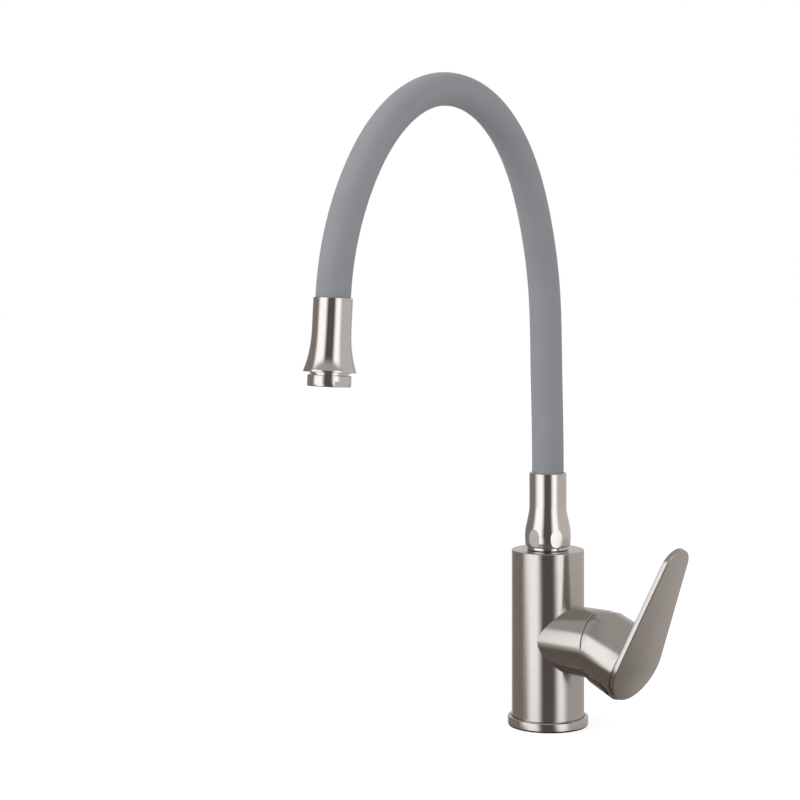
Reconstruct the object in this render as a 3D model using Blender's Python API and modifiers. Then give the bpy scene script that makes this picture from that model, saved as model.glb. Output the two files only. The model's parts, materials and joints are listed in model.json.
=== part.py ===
"""Flexible kitchen faucet: a single-lever mixer for one deck hole, with a bendable hose spout.

The origin is on the body's axis at the deck. +Z is up, the arch of the hose lies in the plane
X = 0 and reaches towards -Y, and the lever's branch points to +X. Metres throughout.
The lever stands at its open stop, as it does while the water runs.
"""

import math

import bmesh
import bpy
from mathutils import Vector

# General
FIT_GAP = 0.0003
CUT_OVERRUN = 0.0020
WELD_DISTANCE = 0.00001
SIDES_LARGE = 36
SIDES_MEDIUM = 24
SIDES_SMALL = 16
SIDES_TINY = 8
SHARP_EDGE = math.radians(30)

# Base on the deck
GASKET_RADIUS = 0.0248
GASKET_THICKNESS = 0.0008
FLANGE_RADIUS = 0.0253
FLANGE_TOP = 0.0060
FLANGE_FLOOR = 0.0012
FLANGE_EDGE = 0.0008
DECK_OPENING_RADIUS = 0.0175

# Body tube and its branch
BODY_RADIUS = 0.0228
BODY_WALL = 0.0022
BODY_TOP = 0.1100
BODY_TOP_WALL = 0.0030
BODY_EDGE = 0.0006
BODY_EDGE_STEPS = 2
BRANCH_HEIGHT = 0.0553
BRANCH_RADIUS = 0.0213
BRANCH_LENGTH = 0.0405
BRANCH_WALL = 0.0037
BRANCH_EDGE = 0.0006

# Waterway block inside the body
BLOCK_FOOT = 0.0117
BLOCK_WAIST_RADIUS = 0.0145
BLOCK_WAIST_TOP = 0.0340
BLOCK_SHOULDER = 0.0770
BLOCK_NECK_RADIUS = 0.0120
BLOCK_SLOPE = 0.0040
SEAT_DEPTH = 0.0140
INLET_SPREAD = 0.0062
INLET_DROP = 0.0045
INLET_THREAD_RADIUS = 0.0046
INLET_THREAD_DEPTH = 0.0120
OUTLET_RISE = 0.0065
PORT_RADIUS = 0.0032
OUTLET_RADIUS = 0.0055

# Shank and clamp under the deck
SHANK_RADIUS = 0.0150
SHANK_BORE_RADIUS = 0.0120
SHANK_BOTTOM = -0.0450
DECK_THICKNESS = 0.0100
WASHER_RADIUS = 0.0240
RUBBER_WASHER_THICKNESS = 0.0030
METAL_WASHER_THICKNESS = 0.0020
LOCK_NUT_FLATS = 0.0400
LOCK_NUT_HEIGHT = 0.0080
LOCK_NUT_EDGE = 0.0010

# Cartridge, in depths measured out along the branch from the body's axis
CASE_WALL = 0.0015
BASE_THICKNESS = 0.0030
PEG_RADIUS = 0.0014
PEG_LENGTH = 0.0022
PEG_SPREAD = 0.0125
SEAL_WIDTH = 0.0013
SEAL_THICKNESS = 0.0010
SEAL_PROUD = 0.0001
FIXED_DISC_THICKNESS = 0.0028
MOVING_DISC_THICKNESS = 0.0030
MOVING_DISC_RADIUS = 0.0124
MIXING_POCKET_DEPTH = 0.0020
MIXING_POCKET_WIDTH = 0.0085
MIXING_POCKET_HEIGHT = 0.0058
PUSHER_RADIUS = 0.0120
PUSHER_THICKNESS = 0.0044
PUSHER_PEG_RADIUS = 0.0012
PUSHER_PEG_LENGTH = 0.0012
PUSHER_PEG_SPREAD = 0.0080
CARRIER_FLANGE_THICKNESS = 0.0031
CARRIER_NECK_RADIUS = 0.0118
CARRIER_NECK_TOP = 0.0455
CARRIER_SLOT_FLOOR = 0.0340
CARRIER_SLOT_LOW = 0.0032
CARRIER_SLOT_HIGH = 0.0088
CASE_TOP_WALL = 0.0016
CARTRIDGE_NUT_THICKNESS = 0.0052
CARTRIDGE_NUT_BORE_RADIUS = 0.0126
NUT_NOTCH_WIDTH = 0.0040
NUT_NOTCH_DEPTH = 0.0020

# Lever
PIVOT_DEPTH = 0.0413
LEVER_TILT = 23.3
PIN_RADIUS = 0.0015
PIN_LENGTH = 0.0216
SPINDLE_WIDTH = 0.0080
SPINDLE_FOOT = 0.0045
SPINDLE_LENGTH = 0.0249
FINGER_RADIUS = 0.0018
FINGER_REACH = 0.0144
FINGER_BALL_RADIUS = 0.0022
FINGER_CLEARANCE = 0.0004
DOME_RADIUS = 0.0215
DOME_SKIRT_WALL = 0.0014
DOME_SKIRT_DEPTH = 0.0013
DOME_STEPS = 5
HUB_RIM_RADIUS = 0.0226
HUB_END_RADIUS = 0.0232
HUB_LENGTH = 0.0260
HUB_WALL = 0.0008
HUB_CAVITY_DEPTH = 0.0203
HUB_EDGE = 0.0003
BLADE_THICKNESS = 0.0032
BLADE_EDGE = 0.0006
BLADE_BROAD_RADIUS = 0.0230
BLADE_TIP_RADIUS = 0.0124
BLADE_BROAD_RISE = 0.0016
BLADE_SPAN = 0.0683
BLADE_ARC_STEPS = 16
GRUB_RADIUS = 0.0020
GRUB_LENGTH = 0.0080
GRUB_SOCKET_FLATS = 0.0020
GRUB_SOCKET_DEPTH = 0.0025
GRUB_HEIGHT = 0.0231
PLUG_LENGTH = 0.0060
PLUG_SET_BACK = 0.0002

# Swivel at the foot of the spout
SPIGOT_FLANGE_RADIUS = 0.0131
SPIGOT_FLANGE_THICKNESS = 0.0020
SPIGOT_THREAD_RADIUS = 0.0080
SPIGOT_THREAD_LENGTH = 0.0125
SPIGOT_RADIUS = 0.0086
SPIGOT_HEIGHT = 0.0157
SPIGOT_BORE_RADIUS = 0.0050
SPIGOT_CLEARANCE = 0.0004
RING_SECTION_RADIUS = 0.0007
RING_STEPS = 6
RING_GROOVE_FLOOR = 0.0072
RING_HEIGHT = 0.0078
CLIP_WIRE_RADIUS = 0.0006
CLIP_RADIUS = 0.0089
CLIP_HEIGHT = 0.0134
CLIP_MOUTH = 60.0
CLIP_GROOVE_DEPTH = 0.0010
CLIP_STEPS = 14

# Bell nut that carries the hose
BELL_TOP = 0.1582
BELL_COLLAR_RADIUS = 0.0117
BELL_COLLAR_LENGTH = 0.0205
BELL_BULGE_RADIUS = 0.0146
BELL_BULGE_HEIGHT = 0.1185
BELL_FOOT_RADIUS = 0.0139
BELL_SHOULDER = 0.0168
BELL_FLATS = 0.0281
BELL_STEPS = 6
BELL_EDGE = 0.0003
FERRULE_LENGTH = 0.0097
FERRULE_GROOVE_DEPTH = 0.0016

# Hose
HOSE_RADIUS = 0.0100
SLEEVE_BORE_RADIUS = 0.0073
WATER_RADIUS = 0.0045
HOSE_LENGTH = 0.4550
HOSE_HEADINGS = (90, 88, 88, 78, 66, 42, 8, -27, -52, -69, -86)
HOSE_STEPS = 455
HOSE_TUCK = 0.0120
JOINT_COUNT = 8
JOINT_MARGIN = 0.0280
BALL_RADIUS = 0.01385
BALL_CLEARANCE = 0.0005
BALL_STEP = 15
SLEEVE_SIDES = 16
NECK_SIDES = 8
WATER_SIDES = 6
STATION_BEND = 8.0
STATION_MARGIN = 0.0015
SLEEVE_START_SHARE = 0.25
SLEEVE_END_SHARE = 1.20
NECK_END_SHARE = 0.85

# Spray head, in depths measured down from the top of its collar
HEAD_COLLAR_RADIUS = 0.01115
HEAD_COLLAR_LENGTH = 0.0160
HEAD_LIP_RADIUS = 0.0150
HEAD_LIP_DEPTH = 0.0416
HEAD_LIP_THICKNESS = 0.0007
HEAD_NECK_RADIUS = 0.0111
HEAD_NECK_DEPTH = 0.0428
HEAD_STEM_RADIUS = 0.0099
HEAD_STEM_DEPTH = 0.0445
HEAD_STEPS = 6
FLARE_POWER = 2.4
FITTING_LENGTH = 0.0080
HEAD_BORE_RADIUS = 0.0072
AERATOR_RADIUS = 0.0124
AERATOR_HEIGHT = 0.0065
AERATOR_LIP_THICKNESS = 0.0015
AERATOR_LIP_RADIUS = 0.0088
AERATOR_EDGE = 0.0004
AERATOR_FLATS = 0.0226
AERATOR_FLAT_HEIGHT = 0.0032
AERATOR_TURN = -8.0
AERATOR_SEAL_THICKNESS = 0.0010
INSERT_HOLE_RADIUS = 0.0011
INSERT_HOLE_SIDES = 6
INSERT_RING_HOLES = (1, 6, 10)
INSERT_RING_SPACING = 0.0034

# Sizes that follow from those above
DECK_BOTTOM = -DECK_THICKNESS
FLANGE_BOTTOM = GASKET_THICKNESS + FIT_GAP
BODY_BOTTOM = FLANGE_BOTTOM + FLANGE_FLOOR + FIT_GAP
BODY_BORE_RADIUS = BODY_RADIUS - BODY_WALL
BRANCH_BORE_RADIUS = BRANCH_RADIUS - BRANCH_WALL
CASE_RADIUS = BRANCH_BORE_RADIUS - FIT_GAP
CASE_BORE_RADIUS = CASE_RADIUS - CASE_WALL
BASE_BOTTOM = SEAT_DEPTH + FIT_GAP
BASE_TOP = BASE_BOTTOM + BASE_THICKNESS
FIXED_DISC_BOTTOM = BASE_TOP + FIT_GAP
MOVING_DISC_BOTTOM = FIXED_DISC_BOTTOM + FIXED_DISC_THICKNESS + FIT_GAP
PUSHER_BOTTOM = MOVING_DISC_BOTTOM + MOVING_DISC_THICKNESS + FIT_GAP
CARRIER_BOTTOM = PUSHER_BOTTOM + PUSHER_THICKNESS + FIT_GAP
CARRIER_FLANGE_TOP = CARRIER_BOTTOM + CARRIER_FLANGE_THICKNESS
CASE_ROOF = CARRIER_FLANGE_TOP + FIT_GAP
CASE_TOP = CASE_ROOF + CASE_TOP_WALL
NUT_BOTTOM = CASE_TOP + FIT_GAP
NUT_TOP = NUT_BOTTOM + CARTRIDGE_NUT_THICKNESS
LEVER_SWING = math.radians(LEVER_TILT)
FINGER_THROW = FINGER_REACH * math.sin(LEVER_SWING)
DISC_OFFSET = FINGER_THROW / 2
SPIGOT_BOTTOM = BODY_TOP + FIT_GAP
SPIGOT_FLANGE_TOP = SPIGOT_BOTTOM + SPIGOT_FLANGE_THICKNESS
BELL_BOTTOM = SPIGOT_FLANGE_TOP + FIT_GAP
BELL_LOWER_BORE_RADIUS = SPIGOT_RADIUS + SPIGOT_CLEARANCE
BELL_SHOULDER_HEIGHT = BELL_BOTTOM + BELL_SHOULDER
BELL_UPPER_BORE_RADIUS = HOSE_RADIUS + FIT_GAP
FERRULE_BOTTOM = BELL_SHOULDER_HEIGHT + FIT_GAP
HOSE_BOTTOM = FERRULE_BOTTOM + FERRULE_LENGTH + FIT_GAP
NECK_RADIUS = SLEEVE_BORE_RADIUS - FIT_GAP
JOINT_PITCH = (HOSE_LENGTH - 2 * JOINT_MARGIN) / (JOINT_COUNT - 1)
FITTING_TOP_DEPTH = HOSE_TUCK + FIT_GAP
FITTING_BOTTOM_DEPTH = FITTING_TOP_DEPTH + FITTING_LENGTH
HEAD_SHOULDER_DEPTH = FITTING_BOTTOM_DEPTH + FIT_GAP
AERATOR_TOP_DEPTH = HEAD_NECK_DEPTH + FIT_GAP
AERATOR_BOTTOM_DEPTH = AERATOR_TOP_DEPTH + AERATOR_HEIGHT
AERATOR_BORE_RADIUS = HEAD_STEM_RADIUS + FIT_GAP
AERATOR_SEAT_DEPTH = AERATOR_BOTTOM_DEPTH - AERATOR_LIP_THICKNESS
SEAL_TOP_DEPTH = HEAD_STEM_DEPTH + FIT_GAP
INSERT_TOP_DEPTH = SEAL_TOP_DEPTH + AERATOR_SEAL_THICKNESS + FIT_GAP
INSERT_BOTTOM_DEPTH = AERATOR_SEAT_DEPTH - FIT_GAP


# Scene, materials and placing

def clear_scene():
    for obj in list(bpy.data.objects):
        bpy.data.objects.remove(obj, do_unlink=True)


def new_collection(name):
    collection = bpy.data.collections.new(name)
    bpy.context.scene.collection.children.link(collection)
    return collection


def new_look(name, colour, roughness, metallic):
    """A Principled material from a linear colour."""
    look = bpy.data.materials.new(name)
    look.use_nodes = True
    shader = look.node_tree.nodes["Principled BSDF"]
    shader.inputs["Base Color"].default_value = (*colour, 1.0)
    shader.inputs["Roughness"].default_value = roughness
    shader.inputs["Metallic"].default_value = metallic
    look.diffuse_color = (*colour, 1.0)
    return look


def place(obj, parent, at, turn):
    obj.parent = parent
    obj.location = at
    obj.rotation_euler = [math.radians(angle) for angle in turn]
    return obj


def new_frame(name, parent=None, at=(0, 0, 0), turn=(0, 0, 0)):
    """An empty that carries the pieces of one body, on the axis of its joint."""
    empty = bpy.data.objects.new(name, None)
    empty.empty_display_size = HOSE_RADIUS
    PARTS.objects.link(empty)
    return place(empty, parent, at, turn)


def as_part(obj, look, parent=None, at=(0, 0, 0), turn=(0, 0, 0)):
    PARTS.objects.link(obj)
    obj.data.materials.append(look)
    return place(obj, parent, at, turn)


def as_cutter(obj, parent=None, at=(0, 0, 0), turn=(0, 0, 0)):
    CUTTERS.objects.link(obj)
    obj.hide_render = True
    obj.display_type = "WIRE"
    return place(obj, parent, at, turn)


# Shapes: each returns an object that is linked by as_part or as_cutter

def turned(name, profile, sides, on_axis=False):
    """A profile of (radius, height) points, down its outer side first, turned about Z."""
    mesh = bpy.data.meshes.new(name)
    edges = [(i, i + 1) for i in range(len(profile) - 1)]
    if not on_axis:
        edges.append((len(profile) - 1, 0))
    mesh.from_pydata([(radius, 0.0, height) for radius, height in profile], edges, [])
    obj = bpy.data.objects.new(name, mesh)
    screw = obj.modifiers.new("Turn", "SCREW")
    screw.steps = screw.render_steps = sides
    screw.use_merge_vertices = True
    screw.merge_threshold = WELD_DISTANCE
    return obj


def ring(name, outer, inner, low, high, sides):
    profile = [(outer, high), (outer, low), (inner, low), (inner, high)]
    return turned(name, profile, sides)


def from_bmesh(name, shape):
    mesh = bpy.data.meshes.new(name)
    shape.to_mesh(mesh)
    shape.free()
    return bpy.data.objects.new(name, mesh)


def drum(name, radius, low, high, sides):
    """A cylinder along Z, from one height to another."""
    shape = bmesh.new()
    bmesh.ops.create_cone(shape, cap_ends=True, segments=sides, radius1=radius,
                          radius2=radius, depth=high - low)
    bmesh.ops.translate(shape, vec=(0, 0, (low + high) / 2), verts=shape.verts)
    return from_bmesh(name, shape)


def prism(name, flats, low, high):
    """A hexagonal bar along Z, by its width across flats, with flats facing +X and -X."""
    corner_radius = flats / 2 / math.cos(math.pi / 6)
    return drum(name, corner_radius, low, high, 6)


def block(name, low, high):
    """A box between two corners."""
    shape = bmesh.new()
    bmesh.ops.create_cube(shape, size=1.0)
    size = [b - a for a, b in zip(low, high)]
    middle = [(a + b) / 2 for a, b in zip(low, high)]
    bmesh.ops.scale(shape, vec=size, verts=shape.verts)
    bmesh.ops.translate(shape, vec=middle, verts=shape.verts)
    return from_bmesh(name, shape)


def ball(name, radius, sides, height=0.0):
    shape = bmesh.new()
    bmesh.ops.create_uvsphere(shape, u_segments=sides, v_segments=sides // 2, radius=radius)
    bmesh.ops.translate(shape, vec=(0, 0, height), verts=shape.verts)
    return from_bmesh(name, shape)


def tube(name, points, radius, sides):
    """A round bar along a line of points, as a welded mesh."""
    curve = bpy.data.curves.new(name, "CURVE")
    curve.dimensions = "3D"
    curve.bevel_depth = radius
    curve.bevel_resolution = (sides - 4) // 2
    curve.use_fill_caps = True
    spline = curve.splines.new("POLY")
    spline.points.add(len(points) - 1)
    for target, point in zip(spline.points, points):
        target.co = (*point, 1.0)
    return mesh_of_curve(name, curve)


def plate(name, outline, thickness, edge):
    """A flat plate in XY with this outline and rounded edges, centred on Z = 0."""
    curve = bpy.data.curves.new(name, "CURVE")
    curve.dimensions = "2D"
    curve.fill_mode = "BOTH"
    curve.extrude = thickness / 2 - edge
    curve.bevel_depth = edge
    curve.bevel_resolution = 1
    curve.offset = -edge
    spline = curve.splines.new("POLY")
    spline.points.add(len(outline) - 1)
    spline.use_cyclic_u = True
    for target, (x, y) in zip(spline.points, outline):
        target.co = (x, y, 0.0, 1.0)
    return mesh_of_curve(name, curve)


def mesh_of_curve(name, curve):
    """The curve's surface with its caps welded on. The curve itself is removed."""
    guide = bpy.data.objects.new(name + "_guide", curve)
    CUTTERS.objects.link(guide)
    bpy.context.view_layer.update()
    graph = bpy.context.evaluated_depsgraph_get()
    mesh = bpy.data.meshes.new_from_object(guide.evaluated_get(graph))
    bpy.data.objects.remove(guide, do_unlink=True)
    shape = bmesh.new()
    shape.from_mesh(mesh)
    bmesh.ops.remove_doubles(shape, verts=shape.verts, dist=WELD_DISTANCE)
    bmesh.ops.recalc_face_normals(shape, faces=shape.faces)
    shape.to_mesh(mesh)
    shape.free()
    return bpy.data.objects.new(name, mesh)


def combine(obj, tool, operation):
    boolean = obj.modifiers.new(tool.name, "BOOLEAN")
    boolean.operation = operation
    boolean.solver = "EXACT"
    boolean.object = tool


def cut(obj, *tools):
    for tool in tools:
        combine(obj, tool, "DIFFERENCE")


def join(obj, *tools):
    for tool in tools:
        combine(obj, tool, "UNION")


def arc(centre_height, radius, start, end, steps):
    """Points (radius, height) on a circle about the axis point, by angles from +Z in degrees."""
    angles = [math.radians(start + (end - start) * i / steps) for i in range(steps + 1)]
    return [(radius * math.sin(a), centre_height + radius * math.cos(a)) for a in angles]


def smoothstep(share):
    return share * share * (3 - 2 * share)


# The hose's route

def hose_heading(share):
    """Degrees above the horizon of the hose's axis, at a share of its visible length."""
    spans = len(HOSE_HEADINGS) - 1
    position = min(max(share, 0.0), 1.0) * spans
    i = min(int(position), spans - 1)
    t = position - i
    here, there = HOSE_HEADINGS[i], HOSE_HEADINGS[i + 1]
    before = HOSE_HEADINGS[i - 1] if i > 0 else 2 * here - there
    after = HOSE_HEADINGS[i + 2] if i + 2 <= spans else 2 * there - here
    return 0.5 * (2 * here + (there - before) * t
                  + (2 * before - 5 * here + 4 * there - after) * t ** 2
                  + (3 * here - before - 3 * there + after) * t ** 3)


def hose_direction(share):
    angle = math.radians(hose_heading(share))
    return Vector((0.0, -math.cos(angle), math.sin(angle)))


def trace_hose():
    """The axis of the visible hose, at equal steps of its length."""
    step = HOSE_LENGTH / HOSE_STEPS
    line = [Vector((0.0, 0.0, BELL_TOP))]
    for i in range(HOSE_STEPS):
        line.append(line[-1] + hose_direction((i + 0.5) / HOSE_STEPS) * step)
    return line


def traced_point(length):
    """A point of the traced axis by its length. Past the ends it runs straight."""
    if length <= 0:
        return HOSE_LINE[0] + hose_direction(0.0) * length
    if length >= HOSE_LENGTH:
        return HOSE_LINE[-1] + hose_direction(1.0) * (length - HOSE_LENGTH)
    position = length / HOSE_LENGTH * HOSE_STEPS
    i = min(int(position), HOSE_STEPS - 1)
    return HOSE_LINE[i].lerp(HOSE_LINE[i + 1], position - i)


def hose_stations():
    """Lengths where the hose has turned by one more step, with straight ends beyond it."""
    lengths = [-2 * HOSE_LENGTH / JOINT_COUNT, 0.0]
    turned_to = hose_heading(0.0)
    for i in range(HOSE_STEPS):
        share = i / HOSE_STEPS
        if abs(hose_heading(share) - turned_to) >= STATION_BEND:
            lengths.append(share * HOSE_LENGTH)
            turned_to = hose_heading(share)
    return lengths + [HOSE_LENGTH, HOSE_LENGTH + 2 * HOSE_LENGTH / JOINT_COUNT]


def chord_at(length):
    """The two stations around a length."""
    after = next(i for i, station in enumerate(STATIONS) if station > length)
    return STATIONS[after - 1], STATIONS[after]


def hose_point(length):
    """A point of the axis as it is built, with a straight chord between stations."""
    low, high = chord_at(length)
    return traced_point(low).lerp(traced_point(high), (length - low) / (high - low))


def chord_heading(length):
    """Degrees above the horizon of the chord at this length."""
    low, high = chord_at(length)
    run = traced_point(high) - traced_point(low)
    return math.degrees(math.atan2(run.z, -run.y))


def joint_length(number):
    """The length along the hose of a bending joint, counted from 1."""
    return JOINT_MARGIN + (number - 1) * JOINT_PITCH


# Base, body and clamp

def build_base():
    gasket = ring("base_gasket", GASKET_RADIUS, DECK_OPENING_RADIUS, 0.0, GASKET_THICKNESS,
                  SIDES_MEDIUM)
    as_part(gasket, RUBBER)
    recess = BODY_RADIUS + FIT_GAP
    floor = FLANGE_BOTTOM + FLANGE_FLOOR
    profile = [(FLANGE_RADIUS - FLANGE_EDGE, FLANGE_TOP), (FLANGE_RADIUS, FLANGE_TOP - FLANGE_EDGE),
               (FLANGE_RADIUS, FLANGE_BOTTOM), (DECK_OPENING_RADIUS, FLANGE_BOTTOM),
               (DECK_OPENING_RADIUS, floor), (recess, floor), (recess, FLANGE_TOP)]
    as_part(turned("base_flange", profile, SIDES_LARGE), STEEL)


def build_body():
    """The tube and its branch in one, hollow, with an open foot."""
    edge = [(BODY_RADIUS - BODY_EDGE + r, BODY_TOP - BODY_EDGE + h)
            for r, h in arc(0.0, BODY_EDGE, 0, 90, BODY_EDGE_STEPS)]
    profile = [(0.0, BODY_TOP), *edge, (BODY_RADIUS, BODY_BOTTOM), (0.0, BODY_BOTTOM)]
    body = as_part(turned("body_shell", profile, SIDES_LARGE, on_axis=True), STEEL)
    rim = BRANCH_LENGTH - BRANCH_EDGE
    branch_profile = [(0.0, BRANCH_LENGTH), (BRANCH_RADIUS - BRANCH_EDGE, BRANCH_LENGTH),
                      (BRANCH_RADIUS, rim), (BRANCH_RADIUS, 0.0), (0.0, 0.0)]
    branch = turned("cut_branch", branch_profile, SIDES_LARGE, on_axis=True)
    join(body, as_cutter(branch, BRANCH))
    ceiling = BODY_TOP - BODY_TOP_WALL
    hole = SPIGOT_THREAD_RADIUS + FIT_GAP
    cavity_profile = [(0.0, BODY_TOP + CUT_OVERRUN), (hole, BODY_TOP + CUT_OVERRUN),
                      (hole, ceiling), (BODY_BORE_RADIUS, ceiling),
                      (BODY_BORE_RADIUS, BODY_BOTTOM - CUT_OVERRUN),
                      (0.0, BODY_BOTTOM - CUT_OVERRUN)]
    cavity = turned("cut_body_cavity", cavity_profile, SIDES_LARGE, on_axis=True)
    cartridge_bore = drum("cut_branch_bore", BRANCH_BORE_RADIUS, 0.0,
                          BRANCH_LENGTH + CUT_OVERRUN, SIDES_LARGE)
    cut(body, as_cutter(cavity), as_cutter(cartridge_bore, BRANCH))


def build_waterway():
    """The block that takes the shank below, the cartridge at its side and the spigot on top."""
    radius = BODY_BORE_RADIUS - FIT_GAP
    top = BODY_TOP - BODY_TOP_WALL - FIT_GAP
    foot_top = BODY_BOTTOM + BLOCK_FOOT
    profile = [(0.0, top), (BLOCK_NECK_RADIUS, top),
               (BLOCK_NECK_RADIUS, BLOCK_SHOULDER + BLOCK_SLOPE), (radius, BLOCK_SHOULDER),
               (radius, BLOCK_WAIST_TOP + BLOCK_SLOPE), (BLOCK_WAIST_RADIUS, BLOCK_WAIST_TOP),
               (BLOCK_WAIST_RADIUS, foot_top + BLOCK_SLOPE), (radius, foot_top),
               (radius, BODY_BOTTOM), (0.0, BODY_BOTTOM)]
    waterway = as_part(turned("waterway_block", profile, SIDES_MEDIUM, on_axis=True), BRASS)
    pocket = drum("cut_cartridge_pocket", BRANCH_BORE_RADIUS, SEAT_DEPTH,
                  BODY_RADIUS + CUT_OVERRUN, SIDES_LARGE)
    shank_bore = drum("cut_shank_bore", SHANK_RADIUS + FIT_GAP, BODY_BOTTOM - CUT_OVERRUN,
                      foot_top, SIDES_MEDIUM)
    spigot_bore = drum("cut_spigot_bore", SPIGOT_THREAD_RADIUS + FIT_GAP,
                       SPIGOT_BOTTOM - SPIGOT_THREAD_LENGTH - FIT_GAP, top + CUT_OVERRUN,
                       SIDES_SMALL)
    outlet_height = BRANCH_HEIGHT + OUTLET_RISE
    riser = drum("cut_outlet_riser", OUTLET_RADIUS, outlet_height, top - CUT_OVERRUN,
                 SIDES_SMALL)
    outlet = drum("cut_outlet_port", PORT_RADIUS, 0.0, SEAT_DEPTH + CUT_OVERRUN, SIDES_TINY)
    cut(waterway, as_cutter(pocket, BRANCH), as_cutter(shank_bore), as_cutter(spigot_bore),
        as_cutter(riser), as_cutter(outlet, BRANCH, (OUTLET_RISE, 0, 0)))
    for name, side in (("hot", -1), ("cold", 1)):
        spread = side * INLET_SPREAD
        thread = drum(f"cut_{name}_thread", INLET_THREAD_RADIUS, foot_top - CUT_OVERRUN,
                      foot_top + INLET_THREAD_DEPTH, SIDES_SMALL)
        inlet_height = BRANCH_HEIGHT - INLET_DROP
        rise = drum(f"cut_{name}_riser", PORT_RADIUS, foot_top, inlet_height, SIDES_TINY)
        port = drum(f"cut_{name}_port", PORT_RADIUS, 0.0, SEAT_DEPTH + CUT_OVERRUN, SIDES_TINY)
        peg_hole = drum(f"cut_{name}_peg_hole", PEG_RADIUS + FIT_GAP,
                        SEAT_DEPTH - PEG_LENGTH - FIT_GAP, SEAT_DEPTH + CUT_OVERRUN, SIDES_TINY)
        cut(waterway, as_cutter(thread, None, (0, -spread, 0)),
            as_cutter(rise, None, (0, -spread, 0)),
            as_cutter(port, BRANCH, (-INLET_DROP, spread, 0)),
            as_cutter(peg_hole, BRANCH, (0, side * PEG_SPREAD, 0)))


def build_clamp():
    """The shank and what draws it down on the deck."""
    shank = ring("threaded_shank", SHANK_RADIUS, SHANK_BORE_RADIUS, SHANK_BOTTOM,
                 BODY_BOTTOM + BLOCK_FOOT - FIT_GAP, SIDES_MEDIUM)
    as_part(shank, BRASS)
    hole = SHANK_RADIUS + FIT_GAP
    rubber_low = DECK_BOTTOM - RUBBER_WASHER_THICKNESS
    rubber = ring("rubber_washer", WASHER_RADIUS, hole, rubber_low, DECK_BOTTOM, SIDES_MEDIUM)
    as_part(rubber, RUBBER)
    metal_high = rubber_low - FIT_GAP
    metal_low = metal_high - METAL_WASHER_THICKNESS
    metal = ring("metal_washer", WASHER_RADIUS, hole, metal_low, metal_high, SIDES_MEDIUM)
    as_part(metal, STEEL)
    build_lock_nut(metal_low - FIT_GAP, hole)


def build_lock_nut(high, hole):
    low = high - LOCK_NUT_HEIGHT
    lock_nut = as_part(prism("lock_nut", LOCK_NUT_FLATS, low, high), BRASS)
    corner = LOCK_NUT_FLATS / 2 / math.cos(math.pi / 6)
    chamfer_profile = [(0.0, high), (LOCK_NUT_FLATS / 2, high), (corner, high - LOCK_NUT_EDGE),
                       (corner, low + LOCK_NUT_EDGE), (LOCK_NUT_FLATS / 2, low), (0.0, low)]
    chamfer = turned("cut_lock_nut_chamfer", chamfer_profile, SIDES_MEDIUM, on_axis=True)
    combine(lock_nut, as_cutter(chamfer), "INTERSECT")
    bore = drum("cut_lock_nut_bore", hole, low - CUT_OVERRUN, high + CUT_OVERRUN, SIDES_MEDIUM)
    cut(lock_nut, as_cutter(bore))


# Cartridge

def ports():
    """Name, rise, side and radius of the cartridge's three water ports."""
    return (("hot", -INLET_DROP, -INLET_SPREAD), ("cold", -INLET_DROP, INLET_SPREAD),
            ("mixed", OUTLET_RISE, 0.0))


def build_cartridge_base():
    base = as_part(drum("cartridge_base", CASE_RADIUS, BASE_BOTTOM, BASE_TOP, SIDES_MEDIUM),
                   PLASTIC, BRANCH)
    for side in (-1, 1):
        peg = drum(f"cut_base_peg_{side}", PEG_RADIUS, SEAT_DEPTH - PEG_LENGTH,
                   BASE_TOP - BASE_THICKNESS / 2, SIDES_TINY)
        join(base, as_cutter(peg, BRANCH, (0, side * PEG_SPREAD, 0)))
    seal_low = BASE_BOTTOM - SEAL_PROUD
    seal_high = seal_low + SEAL_THICKNESS
    seal_radius = PORT_RADIUS + SEAL_WIDTH
    for name, rise, side in ports():
        hole = drum(f"cut_base_{name}", PORT_RADIUS, SEAT_DEPTH, BASE_TOP + CUT_OVERRUN,
                    SIDES_TINY)
        recess = drum(f"cut_recess_{name}", seal_radius + FIT_GAP, SEAT_DEPTH,
                      seal_high + FIT_GAP, SIDES_SMALL)
        cut(base, as_cutter(hole, BRANCH, (rise, side, 0)),
            as_cutter(recess, BRANCH, (rise, side, 0)))
        seal = ring(f"port_seal_{name}", seal_radius, PORT_RADIUS, seal_low, seal_high,
                    SIDES_SMALL)
        as_part(seal, RUBBER, BRANCH, (rise, side, 0))


def build_cartridge_case():
    mouth = CARRIER_NECK_RADIUS + FINGER_CLEARANCE
    profile = [(CASE_RADIUS, CASE_TOP), (CASE_RADIUS, FIXED_DISC_BOTTOM),
               (CASE_BORE_RADIUS, FIXED_DISC_BOTTOM), (CASE_BORE_RADIUS, CASE_ROOF),
               (mouth, CASE_ROOF), (mouth, CASE_TOP)]
    as_part(turned("cartridge_case", profile, SIDES_MEDIUM), PLASTIC, BRANCH)


def build_fixed_disc():
    disc = drum("fixed_disc", CASE_BORE_RADIUS - FIT_GAP, FIXED_DISC_BOTTOM,
                FIXED_DISC_BOTTOM + FIXED_DISC_THICKNESS, SIDES_MEDIUM)
    as_part(disc, CERAMIC, BRANCH)
    for name, rise, side in ports():
        hole = drum(f"cut_fixed_{name}", PORT_RADIUS, FIXED_DISC_BOTTOM - CUT_OVERRUN,
                    MOVING_DISC_BOTTOM + CUT_OVERRUN, SIDES_TINY)
        cut(disc, as_cutter(hole, BRANCH, (rise, side, 0)))


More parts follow.
